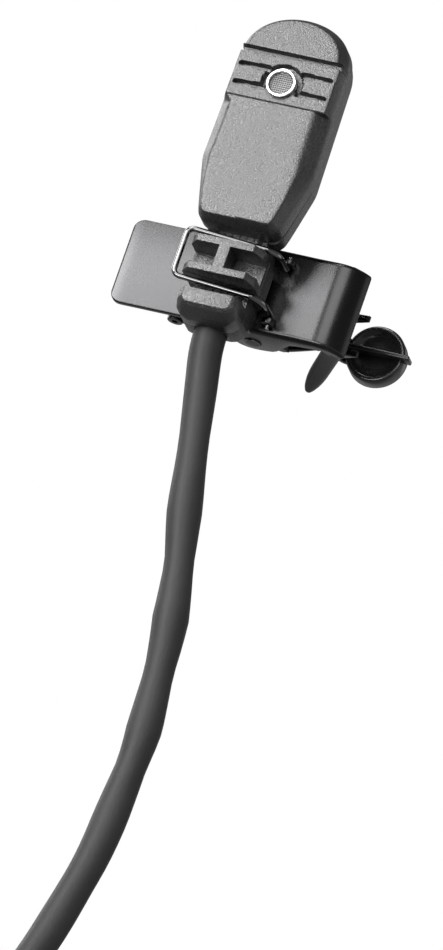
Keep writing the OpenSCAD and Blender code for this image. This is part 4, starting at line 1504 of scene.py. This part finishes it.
        # Columns lie closer together towards both sides
        even = np.linspace(-1, 1, self.columns)
        u = 0.55 * np.sin(even * math.pi / 2) + 0.45 * even
        x = self.half_width(rows)[:, None] * u[None, :]
        z = np.repeat(rows[:, None], len(u), axis=1)
        rim = self.rim_distance(x, z, self.outline(rows))
        y = self.front + self.face_depth(x, z, rim)
        bm = bmesh.new()
        grid = [[bm.verts.new((x[i, j], y[i, j], z[i, j])) for j in range(len(u))]
                for i in range(len(rows) - 1)]
        tip = bm.verts.new((0, float(y[-1, len(u) // 2]), self.top))
        for low, high in zip(grid, grid[1:]):
            for j in range(len(u) - 1):
                bm.faces.new((low[j], low[j + 1], high[j + 1], high[j]))
        for j in range(len(u) - 1):
            bm.faces.new((grid[-1][j], grid[-1][j + 1], tip))
        edge = [*grid[0], *[row[-1] for row in grid[1:]], tip,
                *[row[0] for row in reversed(grid[1:])]]
        gap = self.parting - self.line_gap
        self.wall(bm, edge, [(0.0, gap - 0.06), (0.03, gap), (self.side_step, gap + 0.02),
                             (self.side_step, self.parting)])
        return solid("head_front", bm)

    def wall(
        self, bm: bmesh.types.BMesh, edge: list[bmesh.types.BMVert], rings: Profile
    ) -> None:
        """Carries an edge back through rings and closes the last one.

        Args:
            bm: The mesh.
            edge: The edge's points in order.
            rings: How far each ring is drawn in, and its Y.
        """
        middle = (self.top + self.foot_z) / 2
        half = (self.top - self.foot_z) / 2
        last = edge
        for inset, y in rings:
            across, up = 1 - inset / self.side, 1 - inset / half
            ring = [bm.verts.new((v.co.x * across, y, middle + (v.co.z - middle) * up))
                    for v in edge]
            for i in range(len(ring)):
                k = (i + 1) % len(ring)
                bm.faces.new((last[i], last[k], ring[k], ring[i]))
            last = ring
        bm.faces.new(last)

    def head_back(self) -> Thing:
        """The back half of the head, rounded towards the clip.

        Returns:
            The solid.
        """
        line = self.outline(np.append(self.heights()[::2], self.top))
        bm = bmesh.new()
        drawn = 1 - self.side_step / self.side
        inner = [bm.verts.new((x * drawn, self.parting, z)) for x, z in line]
        bm.faces.new(list(reversed(inner)))
        gap, chamfer = self.parting + self.line_gap, 0.22
        shoulder = self.depth(self.shoulder_depth)
        rings = [(self.side_step, gap - 0.02), (chamfer, gap), (0.0, gap + chamfer),
                 (0.0, shoulder)]
        for t in (k / 8 for k in range(1, 8)):
            rings.append((1.6 * (1 - math.sqrt(max(1 - t**2.2, 0))),
                          shoulder + (self.back - shoulder) * t))
        rings.append((1.75, self.back))
        self.wall(bm, inner, rings)
        return solid("head_back", bm)

    # ------------------------------------------------- neck, block and collar

    def lumps_front(self) -> list[Thing]:
        """Neck, ribs, keeper block and collar of the front half."""
        foot, top, deep = self.block_foot, self.block_top, self.depth(self.neck_depth)
        neck = hulled("neck_front", both_sides([
            (x, y, z) for z in (self.collar_top - self.overlap, self.foot_z + self.overlap)
            for x, y in ((self.neck_side - self.neck_slope, self.parting),
                         (self.neck_side - self.neck_bevel, deep))]), 0.05, 2)
        ribs = bmesh.new()
        for k in range(-2, 3):
            add_loops(ribs, turned_loops(
                [(self.rib_r, 0), (self.rib_r, self.foot_z - self.collar_top)],
                (k * self.rib_gap, deep + 0.04, self.collar_top), UP, 10))
        return [
            neck, solid("neck_ribs", ribs),
            self.bar("block_top", top - self.flange, top),
            self.bar("block_low", foot, foot + self.flange),
            hulled("block_web", box_points(
                (-self.web, self.front, foot + 0.2),
                (self.web, self.depth(self.recess + 0.2), top - 0.2)), 0.12),
            hulled("block_floor", both_sides([
                (self.block_side - 0.02, y, z) for y in (self.depth(self.recess), self.parting)
                for z in (foot + 0.03, top - 0.03)]), 0.06),
            self.collar_front(),
        ]

    def bar(self, name: str, low: float, high: float) -> Thing:
        """One tapered flange of the keeper block, between two heights."""
        return hulled(name, [
            *both_sides([(self.block_face, self.front, z) for z in (low + 0.07, high - 0.07)]),
            *both_sides([(self.block_side, y, z) for z in (low, high)
                         for y in (self.depth(self.bevel), self.parting)]),
        ], 0.07, 3)

    def collar_outline(self) -> list[Pair]:
        """Half-widths and heights down the collar's side to its rounded foot."""
        r, side, foot = self.collar_round, self.collar_side, self.collar_foot
        turns = [math.radians(30 * k) for k in range(4)]
        return [(side, self.collar_top)] + [
            (side - r * (1 - math.cos(a)), foot + r * (1 - math.sin(a))) for a in turns]

    def collar_front(self) -> Thing:
        """Front of the cord collar, sloping back to its foot."""
        foot, top = self.collar_foot, self.collar_top
        face = ((2.3, top), (2.3, foot + 1.5), (2.1, foot + 1.12), (1.7, foot + 1.0))
        slope = ((2.78, top), (2.78, foot + 1.3), (2.3, foot + 0.8), (1.7, foot + 0.65))
        depths = (1.1, 1.1, 1.2, 1.5, 2.0)
        return hulled("collar_front", [
            *both_sides([(x, self.front, z) for x, z in face]),
            *both_sides([(x, self.depth(0.35), z) for x, z in slope]),
            *both_sides([(x, y, z) for (x, z), deep in zip(self.collar_outline(), depths)
                         for y in (self.depth(deep), self.parting)]),
        ], 0.05, 2)

    def lumps_back(self) -> list[Thing]:
        """Neck, keeper block and collar of the rear half."""
        half, tall = self.block_side, (self.block_foot, self.block_top)
        return [
            hulled("neck_back", box_points(
                (-self.neck_side, self.parting, self.collar_top - self.overlap),
                (self.neck_side, self.back, self.foot_z + self.overlap)), 0.05),
            hulled("block_back", [
                *both_sides([(half, y, z) for z in tall for y in (self.parting, self.depth(5.6))]),
                *both_sides([(half - 0.7, self.back, z) for z in tall]),
            ], 0.22, 4),
            hulled("collar_back", [
                *both_sides([(x, y, z) for x, z in self.collar_outline()
                             for y in (self.parting, self.depth(5.2))]),
                *both_sides([(1.9, self.back, z)
                             for z in (self.collar_foot + 1.3, self.collar_top)]),
            ], 0.08, 3),
        ]

    # -------------------------------------------------------------- hollowing

    def hollows(self) -> list[Thing]:
        """Cutters for what is hollow inside the shells."""
        port, y0, wall = self.port_z, self.depth(0.9), self.back - self.back_wall
        return [
            drill("chamber", (0, y0, port), INWARD, self.chamber_r, wall - y0),
            hulled("duct", box_points(
                (-self.duct_half, self.parting - 0.6, self.foot_z + 3),
                (self.duct_half, wall, port))),
            drill("wire_bore", (0, self.cord_y, self.collar_top - 0.5), UP, self.wire_bore,
                  self.foot_z - self.collar_top + 4.5),
            drill("cord_bore", (0, self.cord_y, self.collar_foot - 1), UP, self.cord_bore, 3.0),
            drill("crimp_seat", (0, self.cord_y, self.crimp_z), UP, *self.crimp_seat),
        ]

    def build(self) -> None:
        """Makes both halves."""
        front, lumps = self.head_front(), self.lumps_front()
        port = (0, self.front - 0.5, self.port_z)
        seat = drill("ring_seat", port, INWARD, *self.ring_seat)
        bore = drill("port_bore", port, INWARD, *self.port_bore)
        front = built_up("mic_front", front, lumps, [*self.hollows(), seat, bore])
        settle(front, Body.CLIP, "moulding", MOULDED, "front_shell")
        back = built_up("mic_back", self.head_back(), self.lumps_back(), self.hollows())
        settle(back, Body.CLIP, "moulding", MOULDED, "rear_shell")


@dataclass
class Port:
    """The sound port: a turned bright ring with woven gauze in it."""

    bore_r: float = 1.1
    slim: float = 0.06
    flange_d: float = 0.56
    sunk: float = 0.12
    wall_d: float = 1.3
    wall: float = 0.25
    gauze_d: float = 0.55
    pitch: float = 0.2
    wire: float = 0.045
    layer_gap: float = 1.6

    def build(self) -> None:
        """Makes the ring and the gauze."""
        low, high = node_box("port_ring")
        z, r, bore = (low.z + high.z) / 2, (high.x - low.x) / 2 - self.slim, self.bore_r
        profile = [
            (bore, self.wall_d), (bore, 0.3), (bore + 0.03, 0.06), (bore + 0.08, 0.0),
            (r - 0.08, 0.0), (r, 0.08), (r, self.flange_d),
            (bore + self.wall, self.flange_d + 0.02), (bore + self.wall, self.wall_d),
        ]
        rim = turned("port_rim", profile, (0, low.y + self.sunk, z), INWARD, 72, 40, 0.05, True)
        settle(rim, Body.CLIP, "port_metal", BRIGHT, "port_ring")
        gauze = self.weave((0, low.y + self.gauze_d, z), bore - 0.03)
        settle(gauze, Body.CLIP, "port_gauze", GAUZE_STEEL, "port_mesh")

    def weave(self, centre: Point, reach: float) -> Thing:
        """Lays the gauze: straight wires both ways, cut to the bore.

        Args:
            centre: The gauze's middle.
            reach: Its radius.

        Returns:
            The gauze as a plain mesh.
        """
        tree = Grower("RoundGauze", {"Reach": "Float", "Pitch": "Float", "Wire": "Float"})
        given = tree.given
        half = tree.calc("FLOOR", tree.calc("DIVIDE", given["Reach"], given["Pitch"]))
        count = tree.calc("ADD", tree.calc("MULTIPLY", half, 2.0), 1.0)
        span = tree.calc("MULTIPLY", half, given["Pitch"])
        low = tree.put("ShaderNodeCombineXYZ", {"X": tree.calc("MULTIPLY", span, -1.0)})
        high = tree.put("ShaderNodeCombineXYZ", {"X": span})
        line = tree.put("GeometryNodeMeshLine",
                        {"Count": count, "Start Location": low, "Offset": high},
                        mode="END_POINTS")
        rod = tree.put("GeometryNodeMeshCylinder",
                       {"Vertices": 8, "Depth": 2.0, "Radius": given["Wire"]})
        # Each wire is a chord of the bore
        axes = tree.put("ShaderNodeSeparateXYZ", {0: tree.put("GeometryNodeInputPosition")})
        square = tree.calc("MULTIPLY", axes.outputs["X"], axes.outputs["X"])
        whole = tree.calc("MULTIPLY", given["Reach"], given["Reach"])
        chord = tree.calc("SQRT", tree.calc("SUBTRACT", whole, square))
        sizes = tree.put("ShaderNodeCombineXYZ", {"X": 1.0, "Y": 1.0, "Z": chord})
        lay = tree.put("GeometryNodeInstanceOnPoints",
                       {"Points": line, "Instance": rod, "Scale": sizes})
        # The second layer lies a quarter turn round, in front of the first
        shift = tree.put("ShaderNodeCombineXYZ",
                         {"Y": tree.calc("MULTIPLY", given["Wire"], -self.layer_gap)})
        crossed = tree.put("GeometryNodeTransform", {
            "Geometry": lay, "Translation": shift, "Rotation": (0.0, math.pi / 2, 0.0)})
        both = tree.put("GeometryNodeJoinGeometry", {0: crossed})
        feed(tree.tree, both, {0: lay})
        return tree.grow("port_gauze", both, GAUZE_STEEL, centre, Reach=reach * MM,
                         Pitch=self.pitch * MM, Wire=self.wire * MM)


# ------------------------------------------------------------------------ clip


@dataclass
class ClipTray:
    """The pressed plate with its rolled end, ears, horns and bail lugs."""

    left: float = -11.4
    flat: float = 19.8
    half: float = 4.25
    sheet: float = 0.6
    bend_r: float = 3.2
    bend_deg: float = 62.0
    end_flat: float = 0.3
    corner_r: float = 1.1
    lugs: Table = ((2.45, 3.0), (-3.6, -3.05))
    lug_r: float = 0.7
    horn_at: Pair = (24.0, 65.0)
    horn_tip: Pair = (6.3, 9.2)
    horn_flare: float = 0.95
    horn_round: float = 0.5
    # Depth of the edge flange below the outer face, by distance along the plate
    skirt: Table = (
        (0.0, 0.6), (10.0, 0.6), (10.6, 1.3), (11.4, 2.75), (12.2, 3.8), (12.9, 4.15),
        (13.6, 4.25), (14.4, 4.2), (15.3, 4.05), (15.8, 3.7), (16.6, 2.7), (17.4, 1.7),
        (18.2, 1.45), (20.3, 1.2), (21.6, 1.05), (22.4, 0.85), (22.9, 0.6), (23.6, 0.6),
    )
    # Radius of the outer edge, by distance along the plate
    rolls: Table = (
        (0, 0.15), (9, 0.16), (12.5, 0.5), (18, 0.55), (24, 0.3))

    @property
    def bend_x(self) -> float:
        """Where the flat ends and the bend starts."""
        return self.left + self.flat

    @property
    def length(self) -> float:
        """The plate's length along its outer face."""
        return self.flat + math.radians(self.bend_deg) * self.bend_r + self.end_flat

    def frame_at(self, s: float) -> tuple[Vector, Vector]:
        """Point of the outer face and the way in, at a distance along the plate.

        Args:
            s: Distance from the left end.

        Returns:
            The point and the inward normal, both at Z 0.
        """
        if s <= self.flat:
            return Vector((self.left + s, -self.sheet, 0)), Vector((0, 1, 0))
        whole = math.radians(self.bend_deg)
        a = min((s - self.flat) / self.bend_r, whole)
        inward = Vector((-math.sin(a), math.cos(a), 0))
        centre = Vector((self.bend_x, self.bend_r - self.sheet, 0))
        past = max(s - self.flat - whole * self.bend_r, 0.0)
        return centre - inward * self.bend_r + Vector((inward.y, -inward.x, 0)) * past, inward

    def bend_point(self, deg: float) -> Vector:
        """A point on the middle of the sheet in the bend, in plan."""
        a, r = math.radians(deg), self.bend_r - self.sheet / 2
        return Vector((self.bend_x + r * math.sin(a),
                       self.bend_r - self.sheet - r * math.cos(a), 0))

    def stations(self) -> list[float]:
        """Distances along the plate where it gets a cross-section."""
        end = self.length
        near = [0.0, 0.03, 0.09, 0.18, 0.3, 0.45, 0.65, 0.85, 1.1]
        middle = np.arange(1.6, 9.9, 0.7)
        ear = np.arange(9.9, 23.0, 0.16)
        far = [end - 0.35, end - 0.16, end - 0.07, end - 0.02, end]
        return [*near, *middle, *(s for s in ear if s < end - 0.5), *far]

    def section(self, s: float) -> Loop:
        """The plate's cross-section at a distance along it.

        Args:
            s: Distance from the left end.

        Returns:
            The section's closed loop.
        """
        at, inward = self.frame_at(s)
        off = max(self.corner_r - s, 0)
        half = self.half - self.corner_r + math.sqrt(max(self.corner_r**2 - off**2, 0))
        # Both ends are rounded over their last stretch
        pinch, stretch, most = 0.0, 0.18, 0.15
        for away in (s, self.length - s):
            if away < stretch:
                short = max(1 - (1 - away / stretch) ** 2, 0)
                pinch = max(pinch, most * (1 - math.sqrt(short)))
        deep, roll = (float(np.interp(s, *zip(*table))) for table in (self.skirt, self.rolls))
        t, outer, edge = self.sheet - pinch, half - pinch, 0.12
        low = max(deep - pinch, t + 0.004)
        corner = min(roll, t - 0.05)
        side = [(outer - self.sheet, t), (outer - self.sheet, low - 0.002),
                (outer - self.sheet + edge, low), (outer - edge, low)]
        for a in (math.radians(30 * k) for k in range(4)):
            side.append((outer - edge + edge * math.sin(a), low - edge + edge * math.cos(a)))
        lift = max(min(low - 0.14, corner + pinch), pinch + 0.02)
        for a in (math.radians(15 * k) for k in range(7)):
            side.append((outer - corner * (1 - math.cos(a)),
                         pinch + (lift - pinch) * (1 - math.sin(a))))
        ring = [*side, *((-z, d) for z, d in reversed(side))]
        return [at + Vector((0, 0, z)) + inward * d for z, d in ring]

    def horn(self, side: int) -> Thing:
        """One horn, bent back and out from the edge of the rolled end.

        Args:
            side: 1 or -1, the plate's edge.

        Returns:
            The horn.
        """
        low, high = (self.bend_point(a) for a in self.horn_at)
        root, tip = (low + high) / 2, Vector((*self.horn_tip, 0))
        wide, sheet = (high - low) / 2, self.sheet / 2 - 0.02
        loops = []
        for i in range(37):
            t = math.sin(math.radians(2.5 * i))
            middle = root.lerp(tip, t if i else -0.025)
            past = max((t - self.horn_round) / (1 - self.horn_round), 0)
            shut = math.sqrt(max(1 - past**2, 0.001))
            out = self.half - self.sheet / 2 + self.horn_flare * t**1.25
            half = wide.length * (1 - 0.09 * t) * shut
            loops.append(self.blade(
                middle, wide.normalized(), out * side, half, sheet * min(0.5 + 1.5 * shut, 1)))
        return lofted("horn", loops)

    @staticmethod
    def blade(middle: Vector, wide: Vector, z: float, half: float, thick: float) -> Loop:
        """A flat rounded section across a horn.

        Args:
            middle: Its middle in plan.
            wide: The way across it in plan.
            z: Its height.
            half: Half its width.
            thick: Half its thickness.

        Returns:
            The section's closed loop.
        """
        out = []
        for k in range(24):
            a = 2 * math.pi * k / 24
            c, s = math.cos(a), math.sin(a)
            u = math.copysign(abs(c) ** 0.5, c) * half
            v = math.copysign(abs(s) ** 0.5, s) * thick
            out.append(middle + wide * u + Vector((0, 0, z + v)))
        return out

    def lug(self, low: float, high: float) -> Thing:
        """One lug for the bail, standing on the outer face between two heights."""
        (x, y), r, root = HINGE, self.lug_r, -self.sheet + 0.2
        turns = [math.pi + math.pi * k / 12 for k in range(13)]
        outline = [*((x + r * math.cos(a), y + r * math.sin(a)) for a in turns),
                   (x - r, root), (x + r, root)]
        return hulled("lug", [(px, py, z) for z in (low, high) for px, py in outline], 0.05, 2)

    def build(self) -> None:
        """Makes the plate and its pin."""
        plate = lofted("clip_tray", [self.section(s) for s in self.stations()])
        parts = [self.horn(1), self.horn(-1), *(self.lug(*z) for z in self.lugs)]
        holes = [drill("hole", (*at, -6), UP, r, 12) for at, r in ((PIVOT, 0.52), (HINGE, 0.3))]
        plate = built_up("clip_tray", plate, parts, holes)
        settle(plate, Body.CLIP, "clip_black", PLATED, "clip_plate")
        self.pin()

    def pin(self) -> None:
        """Makes the pivot pin with its domed heads."""
        low, high = node_box("pivot_pin")
        r, shaft, dome = (high.x - low.x) / 2, 0.5, 0.3
        profile = [
            (0.02, low.z),
            *((r * math.sin(a), low.z + dome * (1 - math.cos(a)))
              for a in (math.radians(15 * k) for k in range(1, 7))),
            (r, low.z + 0.34), (shaft, low.z + 0.36),
        ]
        both = [*profile, *((a, -h) for a, h in reversed(profile))]
        settle(turned("clip_rivet", both, (*PIVOT, 0), UP, 40, 40), Body.CLIP, "pin_steel",
               DARK_STEEL, "pivot_pin")


@dataclass
class JawLever:
    """The sprung jaw: curled tip, side walls, narrow neck and tongue, and its button."""

    sheet: float = 0.6
    tip_half: float = 4.1
    jaw_half: float = 3.4
    ear_half: float = 2.95
    neck_half: float = 2.1
    tongue_half: float = 1.2
    edge_r: float = 0.14
    bend_r: float = 0.9
    step: float = 0.3
    curl_at: Pair = (-5.1, 0.9)
    curl_r: float = 0.75
    curl_half: float = 4.35
    pad_at: Pair = (11.35, 9.0)
    pad_r: float = 2.8
    pad_t: float = 1.8
    # Bends of the web from the curled tip to the tongue
    path: Table = (
        (-4.8, 1.25), (-1.2, 2.9), (1, 4.15), (4.2, 4.75), (7.6, 6.1), (8.2, 10.1), (12.8, 10.1)
    )
    wall: Table = (
        (0.6, 3.2), (1.4, 1.3), (3, 1.3), (3.9, 2.8), (4.9, 4.95), (4.2, 4.75), (1, 4.15)
    )
    wing: Table = (
        (6.8, 5.7), (8.2, 5.75), (10.9, 5.45), (11.05, 5.7), (8.9, 6.9), (8, 6.3)
    )

    def half_width(self, x: float) -> float:
        """The web's half width at a place along the clip."""
        t, j, n, g = self.tip_half, self.jaw_half, self.neck_half, self.tongue_half
        return float(np.interp(x, (-6, -1.5, -0.7, 4.4, 5.4, 7.1, 7.35, 7.5, 20),
                               (t, t, j, j, self.ear_half, n, n, g, g)))

    def web(self) -> Thing:
        """The bent strip from the curl to the tongue."""
        coarse = fillet([(x, y, 0) for x, y in self.path], self.bend_r, 6)
        line: Loop = []
        for a, b in zip(coarse, coarse[1:]):
            count = max(1, int((b - a).length / self.step))
            line += [a.lerp(b, k / count) for k in range(count)]
        line.append(coarse[-1])
        loops = []
        for i, (p, ahead) in enumerate(zip(line, headings(line))):
            n = Vector((-ahead.y, ahead.x, 0))
            end = 0.1 if i in (0, len(line) - 1) else 0.0
            ring = strip_ring(self.half_width(p.x) - end, self.sheet / 2 - end, self.edge_r, 3)
            loops.append([p + n * v + Vector((0, 0, u)) for u, v in ring])
        return lofted("jaw_web", loops)

    def curl(self) -> Thing:
        """The rolled tip, open at both ends."""
        r, bore, half = self.curl_r, 0.3, self.curl_half
        return turned("jaw_curl", [(bore, -half), (r, -half), (r, half), (bore, half)],
                      (*self.curl_at, 0), UP, 36, round_by=0.1, hollow=True)

    def build(self) -> None:
        """Makes the lever and its button."""
        parts = [self.curl()]
        for side in (1, -1):
            for outline, outer in ((self.wall, self.jaw_half), (self.wing, self.neck_half)):
                low, high = sorted((side * (outer - self.sheet), side * outer))
                parts.append(prism("jaw_side", outline, low, high, 0.08))
        hole = drill("pin_hole", (*PIVOT, -6), UP, 0.55, 12)
        lever = built_up("clip_jaw", self.web(), parts, [hole])
        settle(lever, Body.JAW, "jaw_black", JAW_PLATED, "jaw_lever")
        self.button()

    def button(self) -> None:
        """The dished thumb button with its rib."""
        (x, y), r, t = self.pad_at, self.pad_r, self.pad_t
        profile = [
            (0.02, 0.55), (1.2, 0.53), (1.8, 0.45), (2.1, 0.3), (2.25, 0.12), (2.36, 0.03),
            (2.5, 0.0), (2.66, 0.04), (2.76, 0.13), (r, 0.28), (r, t - 0.25),
            (r - 0.07, t - 0.1), (r - 0.25, t), (1.2, t), (0.02, t),
        ]
        disc = turned("jaw_button", profile, (x, y, 0), INWARD, 72, 50)
        ends = (x - r + 0.1, y - 0.75, -0.2), (x + r + 0.65, y + 0.7, 0.2)
        rib = hulled("rib", box_points(*ends), 0.1)
        slot = hulled("slot", box_points((x - r - 1, 9.75, -1.25), (12.85, 10.45, 1.25)))
        settle(built_up("jaw_button", disc, [rib], [slot], 40), Body.JAW, "pad_gloss", PAD_GLOSS,
               "thumb_pad")


@dataclass
class JawSpring:
    """The torsion spring round the pin, whose last arm swings with the jaw."""

    r: float = 1.05
    wire: float = 0.4
    pitch: float = 0.85
    turns: int = 4
    from_deg: float = 35.0
    to_deg: float = 315.0
    closed_deg: float = 90.0
    swing_deg: float = 20.0
    slack: float = 0.02
    legs: Pair = (3.0, 4.2)

    @property
    def sweep(self) -> float:
        """How far the wire winds, in degrees."""
        return 360 * self.turns + self.to_deg - self.from_deg

    def turn(self, s: float) -> Vector:
        """A point of the wound wire. The last stretch is closed and doesn't rise.

        Args:
            s: How far it has wound, in degrees.

        Returns:
            The point.
        """
        rising = self.sweep - self.closed_deg
        tall = self.pitch * self.sweep / 360
        a = math.radians(self.from_deg + s)
        return Vector((PIVOT[0] + self.r * math.cos(a), PIVOT[1] + self.r * math.sin(a),
                       tall * (min(s, rising) / rising - 0.5)))

    def wind(self, name: str, path: Loop, r: float, body: Body, *nodes: str) -> None:
        """Makes one length of the wire, as a piece of its own."""
        settle(lofted(name, tube_loops(path, r, 12), 50), body, "spring_steel", SPRING_STEEL,
               *nodes)

    def build(self) -> None:
        """Makes the turns, which stay with the clip, and the arm on the jaw."""
        a, b = math.radians(self.from_deg), math.radians(self.to_deg)
        still = self.sweep - self.swing_deg
        turns = [self.turn(s) for s in np.linspace(0, still, int(still / 10))]
        first = turns[0] + self.legs[0] * Vector((math.sin(a), -math.cos(a), 0))
        self.wind("jaw_spring", [first, *turns], self.wire / 2, Body.CLIP, "torsion_spring")
        hidden = self.closed_deg - self.swing_deg
        arm = [self.turn(s) for s in np.linspace(self.sweep - hidden, self.sweep, 9)]
        final = arm[-1] + self.legs[1] * Vector((-math.sin(b), math.cos(b), 0))
        self.wind("jaw_spring_arm", [*arm, final], self.wire / 2 - self.slack, Body.JAW)


@dataclass
class NeckBail:
    """The wire bail that swings over the neck and holds the microphone down."""

    wire: float = 0.54
    bar: Pair = (-4.3, -6.35)
    bend_from: Pair = (2.5, -5.02)
    bend_to: Pair = (4.12, -3.2)
    top_z: float = 2.1
    low_z: float = -2.7
    reach: float = 1.25
    end_share: float = 0.6
    foot_r: float = 0.34
    corner_r: float = 0.75

    def leg(self, z: float, out: float) -> Loop:
        """One leg from its end in the lug to the start of the crossbar.

        Args:
            z: The leg's height.
            out: Height of the wire's end.

        Returns:
            The leg's points.
        """
        (x, y), (x0, y0), (x1, y1) = HINGE, self.bend_from, self.bend_to
        turn = [Vector((x0 + (x1 - x0) * math.cos(a), y1 + (y0 - y1) * math.sin(a), z))
                for a in (math.radians(9 * k) for k in range(11))]
        stub = fillet([(x, y, out), (x, y, z), tuple(turn[0])], self.foot_r, 6)
        return [*stub[:-1], *turn]

    def build(self) -> None:
        """Makes the bail."""
        top = self.leg(self.top_z, self.top_z + self.reach)
        low = self.leg(self.low_z, self.low_z - self.reach)
        bar = fillet([tuple(top[-1]), (*self.bar, self.top_z), (*self.bar, self.low_z),
                      tuple(low[-1])], self.corner_r, 9)
        path = [*top, *bar[1:-1], *reversed(low)]
        ends, r = (0, len(path) - 1), self.wire / 2
        rings = tube_loops(path, lambda i: r * (self.end_share if i in ends else 1.0), 18)
        settle(lofted("neck_bail", rings, 60), Body.BAIL, "bail_black", BAIL_PLATED, "bail_wire")


def main() -> None:
    """Builds the scene in order."""
    logging.basicConfig(level=logging.INFO, format="%(name)s: %(message)s")
    Studio().build()
    cord = Cord()
    jacket = cord.build()
    cord.declare([CordStrap(cord).build(), *Plug().build()])
    for part in (Moulding(), Port(), ClipTray(), JawLever(), JawSpring(), NeckBail()):
        part.build()
    dress_inner_nodes()
    LOG.info("boxes written")


if __name__ == "__main__":
    main()
